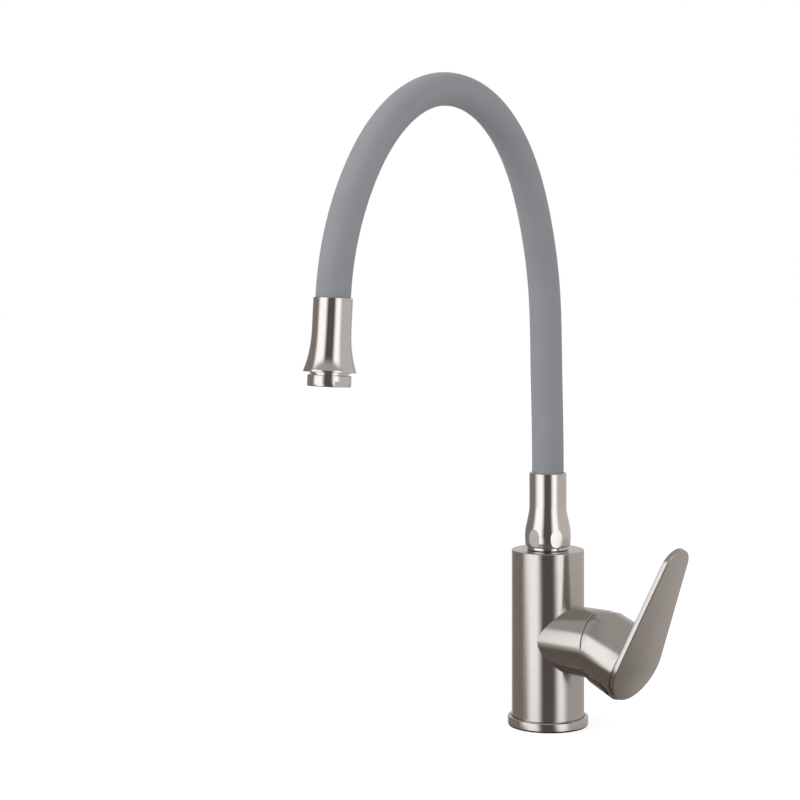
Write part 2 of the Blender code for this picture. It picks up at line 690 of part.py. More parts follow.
def build_moving_disc():
    """The disc that the lever slides over the ports, and the pusher pegged into it."""
    top = MOVING_DISC_BOTTOM + MOVING_DISC_THICKNESS
    disc = drum("moving_disc", MOVING_DISC_RADIUS, MOVING_DISC_BOTTOM, top, SIDES_MEDIUM)
    as_part(disc, CERAMIC, DISCS)
    pocket = drum("cut_mixing_pocket", MIXING_POCKET_WIDTH, MOVING_DISC_BOTTOM - CUT_OVERRUN,
                  MOVING_DISC_BOTTOM + MIXING_POCKET_DEPTH, SIDES_SMALL)
    pocket.scale = (MIXING_POCKET_HEIGHT / MIXING_POCKET_WIDTH, 1.0, 1.0)
    cut(disc, as_cutter(pocket, DISCS, (-DISC_OFFSET / 2, 0, 0)))
    pusher = drum("disc_pusher", PUSHER_RADIUS, PUSHER_BOTTOM, PUSHER_BOTTOM + PUSHER_THICKNESS,
                  SIDES_MEDIUM)
    as_part(pusher, PLASTIC, DISCS)
    for side in (-1, 1):
        place_of_peg = (0, side * PUSHER_PEG_SPREAD, 0)
        peg = drum(f"cut_pusher_peg_{side}", PUSHER_PEG_RADIUS,
                   PUSHER_BOTTOM - FIT_GAP - PUSHER_PEG_LENGTH,
                   PUSHER_BOTTOM + PUSHER_THICKNESS / 2, SIDES_TINY)
        join(pusher, as_cutter(peg, DISCS, place_of_peg))
        hole = drum(f"cut_disc_peg_hole_{side}", PUSHER_PEG_RADIUS + FIT_GAP,
                    top - PUSHER_PEG_LENGTH - FIT_GAP, top + CUT_OVERRUN, SIDES_TINY)
        cut(disc, as_cutter(hole, DISCS, place_of_peg))
    socket = drum("cut_pusher_socket", FINGER_BALL_RADIUS + FINGER_CLEARANCE,
                  PUSHER_BOTTOM - CUT_OVERRUN, CARRIER_BOTTOM + CUT_OVERRUN, SIDES_SMALL)
    cut(pusher, as_cutter(socket, DISCS, (FINGER_THROW - DISC_OFFSET, 0, 0)))


def build_carrier():
    """The guide that turns in the case and holds the lever's pin between its two cheeks."""
    profile = [(0.0, CARRIER_NECK_TOP), (CARRIER_NECK_RADIUS, CARRIER_NECK_TOP),
               (CARRIER_NECK_RADIUS, CARRIER_FLANGE_TOP),
               (CASE_BORE_RADIUS - FINGER_CLEARANCE, CARRIER_FLANGE_TOP),
               (CASE_BORE_RADIUS - FINGER_CLEARANCE, CARRIER_BOTTOM), (0.0, CARRIER_BOTTOM)]
    carrier = as_part(turned("lever_carrier", profile, SIDES_MEDIUM, on_axis=True), PLASTIC, TURN)
    half = SPINDLE_WIDTH / 2 + FINGER_CLEARANCE
    reach = CARRIER_NECK_RADIUS + CUT_OVERRUN
    channel = block("cut_carrier_channel", (-reach, -half, CARRIER_SLOT_FLOOR),
                    (reach, half, CARRIER_NECK_TOP + CUT_OVERRUN))
    finger_half = FINGER_BALL_RADIUS + FINGER_CLEARANCE
    slot = block("cut_carrier_slot", (-CARRIER_SLOT_LOW, -finger_half, CARRIER_BOTTOM - CUT_OVERRUN),
                 (CARRIER_SLOT_HIGH, finger_half, CARRIER_SLOT_FLOOR + CUT_OVERRUN))
    pin_hole = drum("cut_carrier_pin_hole", PIN_RADIUS + FIT_GAP, -reach, reach, SIDES_TINY)
    cut(carrier, as_cutter(channel, TURN), as_cutter(slot, TURN),
        as_cutter(pin_hole, TURN, (0, 0, PIVOT_DEPTH), (90, 0, 0)))
    pin = drum("spindle_pin", PIN_RADIUS, -PIN_LENGTH / 2, PIN_LENGTH / 2, SIDES_TINY)
    as_part(pin, STEEL, TURN, (0, 0, PIVOT_DEPTH), (90, 0, 0))


def build_cartridge_nut():
    nut = ring("cartridge_nut", CASE_RADIUS, CARTRIDGE_NUT_BORE_RADIUS, NUT_BOTTOM, NUT_TOP,
               SIDES_MEDIUM)
    as_part(nut, BRASS, BRANCH)
    reach = CASE_RADIUS + CUT_OVERRUN
    for turn in (0, 60, 120):
        notch = block(f"cut_nut_notch_{turn}",
                      (-reach, -NUT_NOTCH_WIDTH / 2, NUT_TOP - NUT_NOTCH_DEPTH),
                      (reach, NUT_NOTCH_WIDTH / 2, NUT_TOP + CUT_OVERRUN))
        cut(nut, as_cutter(notch, BRANCH, (0, 0, 0), (0, 0, turn)))


def build_cover_dome():
    """The ring over the nut, flush with the branch and then domed about the lever's pin."""
    lip = BRANCH_LENGTH + FIT_GAP
    skirt = CASE_RADIUS
    bore = skirt - DOME_SKIRT_WALL
    skirt_low = lip - DOME_SKIRT_DEPTH
    mouth = math.degrees(math.asin(bore / DOME_RADIUS))
    base = math.degrees(math.asin(BRANCH_RADIUS / DOME_RADIUS))
    outside = arc(PIVOT_DEPTH, DOME_RADIUS, mouth, base, DOME_STEPS)
    profile = [*outside, (BRANCH_RADIUS, lip), (skirt, lip), (skirt, skirt_low),
               (bore, skirt_low)]
    as_part(turned("cover_dome", profile, SIDES_LARGE), STEEL, BRANCH)


# Lever

def build_spindle():
    half = SPINDLE_WIDTH / 2
    spindle = block("spindle", (-half, -half, -SPINDLE_FOOT), (half, half, SPINDLE_LENGTH))
    as_part(spindle, STEEL, LIFT)
    finger = drum("cut_finger", FINGER_RADIUS, -FINGER_REACH, 0.0, SIDES_TINY)
    knob = ball("cut_finger_ball", FINGER_BALL_RADIUS, SIDES_TINY, -FINGER_REACH)
    pin_hole = drum("cut_spindle_pin_hole", PIN_RADIUS + FIT_GAP, -SPINDLE_WIDTH, SPINDLE_WIDTH,
                    SIDES_TINY)
    join(spindle, as_cutter(finger, LIFT), as_cutter(knob, LIFT))
    cut(spindle, as_cutter(pin_hole, LIFT, (0, 0, 0), (90, 0, 0)))


def hub_radius(height):
    return HUB_RIM_RADIUS + (HUB_END_RADIUS - HUB_RIM_RADIUS) * height / HUB_LENGTH


def build_hub():
    """The skirted hub. Its rim is cut back below the pin, so that it clears the branch when open."""
    bore = HUB_RIM_RADIUS - HUB_WALL
    profile = [(0.0, HUB_LENGTH), (HUB_END_RADIUS - HUB_EDGE, HUB_LENGTH),
               (HUB_END_RADIUS, HUB_LENGTH - HUB_EDGE), (HUB_RIM_RADIUS, 0.0), (bore, 0.0),
               (bore, HUB_CAVITY_DEPTH), (0.0, HUB_CAVITY_DEPTH)]
    hub = as_part(turned("handle_hub", profile, SIDES_LARGE, on_axis=True), STEEL, LIFT)
    reach = HUB_END_RADIUS + CUT_OVERRUN
    relief = block("cut_hub_relief", (-2 * reach, -reach, PIVOT_DEPTH - reach),
                   (0.0, reach, PIVOT_DEPTH))
    half = SPINDLE_WIDTH / 2 + FIT_GAP
    socket = block("cut_hub_socket", (-half, -half, HUB_CAVITY_DEPTH - CUT_OVERRUN),
                   (half, half, SPINDLE_LENGTH + FIT_GAP))
    screw_hole = drum("cut_grub_hole", GRUB_RADIUS + FIT_GAP, 0.0, reach, SIDES_TINY)
    cut(hub, as_cutter(relief, TURN), as_cutter(socket, LIFT),
        as_cutter(screw_hole, LIFT, (0, 0, GRUB_HEIGHT), (0, -90, 0)))


def build_grub_screw():
    """The screw that grips the spindle, under a plug, on the hub's underside."""
    tip = SPINDLE_WIDTH / 2 + FIT_GAP
    screw = drum("grub_screw", GRUB_RADIUS, tip, tip + GRUB_LENGTH, SIDES_TINY)
    as_part(screw, STEEL, LIFT, (0, 0, GRUB_HEIGHT), (0, -90, 0))
    hexagon = prism("cut_grub_socket", GRUB_SOCKET_FLATS, tip + GRUB_LENGTH - GRUB_SOCKET_DEPTH,
                    tip + GRUB_LENGTH + CUT_OVERRUN)
    cut(screw, as_cutter(hexagon, LIFT, (0, 0, GRUB_HEIGHT), (0, -90, 0)))
    face = hub_radius(GRUB_HEIGHT) - PLUG_SET_BACK
    plug = drum("index_plug", GRUB_RADIUS, face - PLUG_LENGTH, face, SIDES_TINY)
    as_part(plug, INDEX_RED, LIFT, (0, 0, GRUB_HEIGHT), (0, -90, 0))


def blade_outline():
    """Two arcs, broad at the hub and narrow at the tip, joined by their tangents."""
    lean = math.asin((BLADE_BROAD_RADIUS - BLADE_TIP_RADIUS) / BLADE_SPAN)
    points = []
    for centre, radius, start, end in (
            (BLADE_BROAD_RISE, BLADE_BROAD_RADIUS, math.pi / 2 - lean, math.pi * 3 / 2 + lean),
            (BLADE_BROAD_RISE + BLADE_SPAN, BLADE_TIP_RADIUS, lean - math.pi / 2,
             math.pi / 2 - lean)):
        for i in range(BLADE_ARC_STEPS + 1):
            angle = start + (end - start) * i / BLADE_ARC_STEPS
            points.append((centre + radius * math.cos(angle), radius * math.sin(angle)))
    return points


def build_blade():
    blade = plate("lever_blade", blade_outline(), BLADE_THICKNESS, BLADE_EDGE)
    as_part(blade, STEEL, LIFT, (0, 0, HUB_LENGTH + FIT_GAP + BLADE_THICKNESS / 2))


# Swivel and bell

def groove(radius, floor, middle, half):
    """Points of a square groove in an outer side, from top to bottom."""
    return [(radius, middle + half), (floor, middle + half), (floor, middle - half),
            (radius, middle - half)]


def build_spigot():
    """The fixed half of the swivel, screwed into the waterway through the body's top."""
    bottom = SPIGOT_BOTTOM - SPIGOT_THREAD_LENGTH
    top = SPIGOT_FLANGE_TOP + SPIGOT_HEIGHT
    clip_middle = SPIGOT_FLANGE_TOP + CLIP_HEIGHT
    ring_middle = SPIGOT_FLANGE_TOP + RING_HEIGHT
    clip_half = CLIP_WIRE_RADIUS + FIT_GAP
    ring_half = RING_SECTION_RADIUS + FIT_GAP
    profile = [(SPIGOT_RADIUS, top),
               *groove(SPIGOT_RADIUS, SPIGOT_RADIUS - CLIP_GROOVE_DEPTH, clip_middle, clip_half),
               *groove(SPIGOT_RADIUS, RING_GROOVE_FLOOR, ring_middle, ring_half),
               (SPIGOT_RADIUS, SPIGOT_FLANGE_TOP), (SPIGOT_FLANGE_RADIUS, SPIGOT_FLANGE_TOP),
               (SPIGOT_FLANGE_RADIUS, SPIGOT_BOTTOM), (SPIGOT_THREAD_RADIUS, SPIGOT_BOTTOM),
               (SPIGOT_THREAD_RADIUS, bottom), (SPIGOT_BORE_RADIUS, bottom),
               (SPIGOT_BORE_RADIUS, top)]
    as_part(turned("swivel_spigot", profile, SIDES_MEDIUM), BRASS)
    seal = turned("spigot_oring", arc_ring(RING_GROOVE_FLOOR, ring_middle), SIDES_SMALL)
    as_part(seal, RUBBER)
    build_clip(clip_middle)


def arc_ring(floor, middle):
    """The round section of a sealing ring that lies in a groove, down its outer side first."""
    centre = floor + FIT_GAP + RING_SECTION_RADIUS
    section = [(centre + r, middle + h) for r, h in arc(0.0, RING_SECTION_RADIUS, 0, 360, RING_STEPS)]
    return section[:-1]


def build_clip(height):
    """An open wire ring that holds the bell down on the spigot."""
    points = []
    for i in range(CLIP_STEPS + 1):
        angle = math.radians(CLIP_MOUTH / 2 + (360 - CLIP_MOUTH) * i / CLIP_STEPS)
        points.append((CLIP_RADIUS * math.cos(angle), CLIP_RADIUS * math.sin(angle), height))
    as_part(tube("retaining_clip", points, CLIP_WIRE_RADIUS, 6), STEEL)


def bell_outline():
    """The bell's outer side from its top edge down to its foot."""
    points = [(BELL_COLLAR_RADIUS - BELL_EDGE, BELL_TOP), (BELL_COLLAR_RADIUS, BELL_TOP - BELL_EDGE)]
    collar_low = BELL_TOP - BELL_COLLAR_LENGTH
    for i in range(BELL_STEPS + 1):
        share = i / BELL_STEPS
        swell = smoothstep(share) * (BELL_BULGE_RADIUS - BELL_COLLAR_RADIUS)
        height = collar_low + (BELL_BULGE_HEIGHT - collar_low) * share
        points.append((BELL_COLLAR_RADIUS + swell, height))
    for i in range(1, BELL_STEPS):
        angle = math.pi / 2 * i / (BELL_STEPS - 1)
        points.append((BELL_FOOT_RADIUS + (BELL_BULGE_RADIUS - BELL_FOOT_RADIUS) * math.cos(angle),
                       BELL_BULGE_HEIGHT - (BELL_BULGE_HEIGHT - BELL_BOTTOM) * math.sin(angle)))
    return points


def build_bell():
    """The bell nut. Six wrench flats cross its bulge and show as ovals."""
    clip_middle = SPIGOT_FLANGE_TOP + CLIP_HEIGHT
    clip_half = CLIP_WIRE_RADIUS + FIT_GAP
    groove_radius = CLIP_RADIUS + CLIP_WIRE_RADIUS + FIT_GAP
    lower, upper = BELL_LOWER_BORE_RADIUS, BELL_UPPER_BORE_RADIUS
    outline = [(0.0, BELL_TOP), *bell_outline(), (0.0, BELL_BOTTOM)]
    bell = as_part(turned("bell_nut", outline, SIDES_LARGE, on_axis=True), CHROME, SPOUT)
    bore = [(0.0, BELL_TOP + CUT_OVERRUN), (upper, BELL_TOP + CUT_OVERRUN),
            (upper, BELL_SHOULDER_HEIGHT), (lower, BELL_SHOULDER_HEIGHT),
            (lower, clip_middle + clip_half), (groove_radius, clip_middle + clip_half),
            (groove_radius, clip_middle - clip_half), (lower, clip_middle - clip_half),
            (lower, BELL_BOTTOM - CUT_OVERRUN), (0.0, BELL_BOTTOM - CUT_OVERRUN)]
    hexagon = prism("cut_bell_flats", BELL_FLATS, BELL_BOTTOM - CUT_OVERRUN,
                    BELL_TOP + CUT_OVERRUN)
    combine(bell, as_cutter(hexagon, SPOUT, (0, 0, 0), (0, 0, 30)), "INTERSECT")
    hollow = turned("cut_bell_bore", bore, SIDES_MEDIUM, on_axis=True)
    cut(bell, as_cutter(hollow, SPOUT))
    build_ferrule()


def build_ferrule():
    """The end fitting crimped on the hose, sealed in the bell."""
    radius = HOSE_RADIUS
    top = FERRULE_BOTTOM + FERRULE_LENGTH
    middle = FERRULE_BOTTOM + FERRULE_LENGTH / 2
    floor = radius - FERRULE_GROOVE_DEPTH
    half = RING_SECTION_RADIUS + FIT_GAP
    profile = [(radius, top), *groove(radius, floor, middle, half), (radius, FERRULE_BOTTOM),
               (WATER_RADIUS, FERRULE_BOTTOM), (WATER_RADIUS, top)]
    as_part(turned("hose_ferrule", profile, SIDES_SMALL), BRASS, SPOUT)
    seal = turned("ferrule_oring", arc_ring(floor, middle), SIDES_SMALL)
    as_part(seal, RUBBER, SPOUT)


# Hose segments

def segment_points(start, end, origin):
    inner = [length for length in STATIONS
             if start + STATION_MARGIN < length < end - STATION_MARGIN]
    return [hose_point(length) - origin for length in (start, *inner, end)]


def end_cutter(name, parent):
    """A drum past a joint with a ball-shaped hollow, which leaves a ball end on the hose."""
    far = 2 * BALL_RADIUS
    hollow = arc(0.0, BALL_RADIUS, 90, 0, 90 // BALL_STEP)
    profile = [(0.0, far), (far, far), (far, 0.0), *hollow]
    return as_cutter(turned(name, profile, SLEEVE_SIDES, on_axis=True), parent)


def socket_cutter(name, parent):
    shape = bmesh.new()
    bmesh.ops.create_uvsphere(shape, u_segments=SLEEVE_SIDES, v_segments=180 // BALL_STEP,
                              radius=BALL_RADIUS + BALL_CLEARANCE)
    return as_cutter(from_bmesh(name, shape), parent)


def aim_frame(name, number):
    """An empty at a joint, with Z along the hose."""
    heading = chord_heading(joint_length(number))
    return new_frame(name, FRAMES[number], turn=(90 - heading, 0, 0))


def build_hose():
    """Nine lengths of hose. Each has the silicone sleeve and the metal neck with its bore."""
    cutters = {}
    for number in range(1, JOINT_COUNT + 1):
        aim = aim_frame(f"aim_{number}", number)
        cutters[number] = (end_cutter(f"cut_ball_{number}", aim),
                           socket_cutter(f"cut_socket_{number}", aim))
    for number in range(JOINT_COUNT + 1):
        origin = joint_point(number) if number else Vector((0.0, 0.0, 0.0))
        start = neck_start = HOSE_BOTTOM - BELL_TOP
        end = neck_end = HOSE_LENGTH + HOSE_TUCK
        if number:
            start = joint_length(number) + BALL_RADIUS * SLEEVE_START_SHARE
            neck_start = joint_length(number) + BALL_RADIUS + BALL_CLEARANCE
        if number < JOINT_COUNT:
            end = joint_length(number + 1) + BALL_RADIUS * SLEEVE_END_SHARE
            neck_end = joint_length(number + 1) + BALL_RADIUS * NECK_END_SHARE
        sleeve = hose_length(f"sleeve_{number}", (start, end, origin), SILICONE,
                             (HOSE_RADIUS, SLEEVE_SIDES), (SLEEVE_BORE_RADIUS, NECK_SIDES),
                             number)
        if number:
            cut(sleeve, cutters[number][1])
        if number < JOINT_COUNT:
            cut(sleeve, cutters[number + 1][0])
        hose_length(f"neck_{number}", (neck_start, neck_end, origin), GOOSENECK,
                    (NECK_RADIUS, NECK_SIDES), (WATER_RADIUS, WATER_SIDES), number)


def hose_length(name, span, look, outside, bore, number):
    """One tube along the hose, with a bore that runs out at both ends."""
    start, end, origin = span
    piece = as_part(tube(name, segment_points(*span), *outside), look, FRAMES[number])
    points = segment_points(start - CUT_OVERRUN, end + CUT_OVERRUN, origin)
    cut(piece, as_cutter(tube(f"cut_{name}_bore", points, *bore), FRAMES[number]))
    return piece


# Spray head: heights in its frame are minus the depths

def head_outline():
    """The head's outer side, from the collar's top to the end of its threaded stem."""
    points = [(HEAD_COLLAR_RADIUS - HEAD_LIP_THICKNESS / 2, 0.0),
              (HEAD_COLLAR_RADIUS, -HEAD_LIP_THICKNESS / 2)]
    flare_end = HEAD_LIP_DEPTH - HEAD_LIP_THICKNESS
    for i in range(HEAD_STEPS + 1):
        share = i / HEAD_STEPS
        flare = (HEAD_LIP_RADIUS - HEAD_COLLAR_RADIUS) * share ** FLARE_POWER
        depth = HEAD_COLLAR_LENGTH + (flare_end - HEAD_COLLAR_LENGTH) * share
        points.append((HEAD_COLLAR_RADIUS + flare, -depth))
    points += [(HEAD_LIP_RADIUS, -HEAD_LIP_DEPTH), (HEAD_NECK_RADIUS, -HEAD_LIP_DEPTH),
               (HEAD_NECK_RADIUS, -HEAD_NECK_DEPTH), (HEAD_STEM_RADIUS, -HEAD_NECK_DEPTH),
               (HEAD_STEM_RADIUS, -HEAD_STEM_DEPTH)]
    return points


def build_head():
    tuck_bore = HOSE_RADIUS + FIT_GAP
    outline = [(0.0, 0.0), *head_outline(), (0.0, -HEAD_STEM_DEPTH)]
    shell = as_part(turned("head_shell", outline, SIDES_LARGE, on_axis=True), CHROME, HEAD)
    bore = [(0.0, CUT_OVERRUN), (tuck_bore, CUT_OVERRUN), (tuck_bore, -HEAD_SHOULDER_DEPTH),
            (HEAD_BORE_RADIUS, -HEAD_SHOULDER_DEPTH),
            (HEAD_BORE_RADIUS, -HEAD_STEM_DEPTH - CUT_OVERRUN),
            (0.0, -HEAD_STEM_DEPTH - CUT_OVERRUN)]
    hollow = turned("cut_head_bore", bore, SIDES_MEDIUM, on_axis=True)
    cut(shell, as_cutter(hollow, HEAD))
    fitting = ring("head_fitting", HOSE_RADIUS, WATER_RADIUS, -FITTING_BOTTOM_DEPTH,
                   -FITTING_TOP_DEPTH, SIDES_SMALL)
    as_part(fitting, BRASS, HEAD)


def build_aerator():
    low = -AERATOR_BOTTOM_DEPTH
    profile = [(AERATOR_RADIUS - AERATOR_EDGE, -AERATOR_TOP_DEPTH),
               (AERATOR_RADIUS, -AERATOR_TOP_DEPTH - AERATOR_EDGE),
               (AERATOR_RADIUS, low + AERATOR_EDGE), (AERATOR_RADIUS - AERATOR_EDGE, low),
               (AERATOR_LIP_RADIUS, low), (AERATOR_LIP_RADIUS, -AERATOR_SEAT_DEPTH),
               (AERATOR_BORE_RADIUS, -AERATOR_SEAT_DEPTH),
               (AERATOR_BORE_RADIUS, -AERATOR_TOP_DEPTH)]
    housing = as_part(turned("aerator_housing", profile, SIDES_LARGE), CHROME, HEAD)
    far = AERATOR_RADIUS + CUT_OVERRUN
    for side in (0, 180):
        flat = block(f"cut_aerator_flat_{side}", (AERATOR_FLATS / 2, -far, low - CUT_OVERRUN),
                     (far, far, low + AERATOR_FLAT_HEIGHT))
        cut(housing, as_cutter(flat, HEAD, (0, 0, 0), (0, 0, AERATOR_TURN + side)))
    seal_low = -SEAL_TOP_DEPTH - AERATOR_SEAL_THICKNESS
    seal = ring("aerator_seal", HEAD_STEM_RADIUS, HEAD_BORE_RADIUS, seal_low, -SEAL_TOP_DEPTH,
                SIDES_SMALL)
    as_part(seal, RUBBER, HEAD)
    build_insert()


def build_insert():
    """The perforated disc that straightens the stream, with rings of holes."""
    insert = drum("aerator_insert", HEAD_STEM_RADIUS, -INSERT_BOTTOM_DEPTH, -INSERT_TOP_DEPTH,
                  SIDES_MEDIUM)
    as_part(insert, PLASTIC, HEAD)
    for ring_number, count in enumerate(INSERT_RING_HOLES):
        for i in range(count):
            angle = 2 * math.pi * i / count
            reach = ring_number * INSERT_RING_SPACING
            hole = drum(f"cut_insert_{ring_number}_{i}", INSERT_HOLE_RADIUS,
                        -INSERT_BOTTOM_DEPTH - CUT_OVERRUN, -INSERT_TOP_DEPTH + CUT_OVERRUN,
                        INSERT_HOLE_SIDES)
            cut(insert, as_cutter(hole, HEAD, (reach * math.cos(angle), reach * math.sin(angle), 0)))


# Frames and finishing

def joint_point(number):
    return hose_point(joint_length(number))


def hose_frames():
    """One empty for each length of hose, at the joint that bends it. The first is the spout's."""
    frames = {0: SPOUT}
    before = Vector((0.0, 0.0, 0.0))
    for number in range(1, JOINT_COUNT + 1):
        here = joint_point(number)
        frames[number] = new_frame(f"hose_joint_{number}", frames[number - 1], here - before)
        before = here
    return frames


def head_frame():
    """Origin at the top of the head's collar, with the water leaving along -Z."""
    lean = hose_heading(1.0) + 90
    origin = hose_point(HOSE_LENGTH) - joint_point(JOINT_COUNT)
    return new_frame("head_frame", FRAMES[JOINT_COUNT], origin, (-lean, 0, 0))


def finish_meshes():
    """Replaces each part's modifiers by their result, smooth but for its sharp edges."""
    bpy.context.view_layer.update()
    graph = bpy.context.evaluated_depsgraph_get()
    parts = [obj for obj in PARTS.objects if obj.type == "MESH"]
    finished = [bpy.data.meshes.new_from_object(obj.evaluated_get(graph)) for obj in parts]
    for obj, mesh in zip(parts, finished):
        mesh.shade_smooth()
        mesh.set_sharp_from_angle(angle=SHARP_EDGE)
        obj.modifiers.clear()
        obj.data = mesh


clear_scene()
PARTS = new_collection("flexible_kitchen_faucet")
CUTTERS = new_collection("cutters")

STEEL = new_look("brushed_stainless_steel", (0.47, 0.45, 0.43), 0.32, 1.0)
CHROME = new_look("satin_nickel_plate", (0.60, 0.58, 0.56), 0.18, 1.0)
BRASS = new_look("turned_brass", (0.58, 0.42, 0.18), 0.35, 1.0)
RUBBER = new_look("black_rubber", (0.02, 0.02, 0.02), 0.70, 0.0)
SILICONE = new_look("grey_silicone", (0.23, 0.24, 0.25), 0.55, 0.0)
GOOSENECK = new_look("wound_steel_neck", (0.40, 0.40, 0.42), 0.40, 1.0)
PLASTIC = new_look("moulded_acetal", (0.75, 0.75, 0.73), 0.45, 0.0)
CERAMIC = new_look("ground_alumina", (0.82, 0.80, 0.74), 0.20, 0.0)
INDEX_RED = new_look("red_index_plastic", (0.45, 0.03, 0.03), 0.40, 0.0)

HOSE_LINE = trace_hose()
STATIONS = hose_stations()
BRANCH = new_frame("branch_frame", None, (0, 0, BRANCH_HEIGHT), (0, -90, 180))
TURN = new_frame("handle_turn_axis", BRANCH)
DISCS = new_frame("disc_frame", TURN, (DISC_OFFSET, 0, 0))
LIFT = new_frame("handle_lift_pin", TURN, (0, 0, PIVOT_DEPTH), (0, -LEVER_TILT, 0))
SPOUT = new_frame("spout_swivel_axis")
FRAMES = hose_frames()
HEAD = head_frame()

build_base()
build_body()
build_waterway()
build_clamp()
build_cartridge_base()
build_cartridge_case()
build_fixed_disc()
build_moving_disc()
build_carrier()
build_cartridge_nut()
build_cover_dome()
build_spindle()
build_hub()
build_grub_screw()
build_blade()
build_spigot()
build_bell()
build_hose()
build_head()
build_aerator()
finish_meshes()
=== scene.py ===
"""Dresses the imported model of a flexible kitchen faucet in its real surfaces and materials.

Laid out as an add-on and run as a script. Everything is in metres, in the frame of the CAD.
"""

import json
import math

import bpy
from mathutils import Matrix, Vector


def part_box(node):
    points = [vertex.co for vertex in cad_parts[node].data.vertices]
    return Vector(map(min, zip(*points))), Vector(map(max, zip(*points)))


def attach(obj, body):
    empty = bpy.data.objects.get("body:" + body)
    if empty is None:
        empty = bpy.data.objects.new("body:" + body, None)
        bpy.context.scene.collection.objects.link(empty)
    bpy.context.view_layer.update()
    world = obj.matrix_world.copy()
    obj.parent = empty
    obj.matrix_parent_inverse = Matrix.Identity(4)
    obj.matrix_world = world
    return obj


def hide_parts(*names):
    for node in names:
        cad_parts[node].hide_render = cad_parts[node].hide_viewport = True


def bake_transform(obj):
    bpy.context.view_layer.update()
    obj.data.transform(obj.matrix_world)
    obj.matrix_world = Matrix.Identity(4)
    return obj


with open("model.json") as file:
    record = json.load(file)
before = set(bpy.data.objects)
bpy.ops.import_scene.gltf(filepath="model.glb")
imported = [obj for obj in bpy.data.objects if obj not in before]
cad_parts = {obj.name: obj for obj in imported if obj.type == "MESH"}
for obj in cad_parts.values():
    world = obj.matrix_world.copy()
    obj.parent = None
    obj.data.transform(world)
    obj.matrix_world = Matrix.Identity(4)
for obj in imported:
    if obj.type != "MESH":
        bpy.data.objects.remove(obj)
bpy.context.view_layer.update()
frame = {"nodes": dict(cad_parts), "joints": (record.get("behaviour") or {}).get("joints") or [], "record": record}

bl_info = {
    "name": "Flexible Kitchen Faucet",
    "version": (1, 0, 0),
    "blender": (4, 5, 0),
    "location": "View3D > Sidebar > Faucet",
    "description": "Models and dresses a single-lever mixer with a bendable hose spout",
    "category": "Object",
}

BODY_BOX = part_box("body_shell")
FLANGE_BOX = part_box("base_flange")
GASKET_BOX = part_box("base_gasket")
JOINTS = {joint["name"]: joint for joint in frame["joints"]}
HOSE_JOINTS = [name for name in JOINTS if name.startswith(("bend_", "sway_"))]
LEVER_TILT = math.radians(23.3)
CAMERA_TURN = 41.2
# Degrees above the horizon along the hose, at equal steps from the bell to the head
HOSE_HEADINGS = (90, 88, 88, 78, 66, 42, 8, -27, -52, -69, -86)
SHARP = math.radians(32)
SAME_POINT = 1e-6
# How far a tool reaches past what it cuts
OVERRUN = 0.002


# Sizes and colours that a user would change

def length(name, default, description):
    return bpy.props.FloatProperty(name=name, description=description, default=default,
                                   min=0.0, unit="LENGTH", precision=5)


def colour(name, default, description):
    return bpy.props.StringProperty(name=name, description=description, default=default)


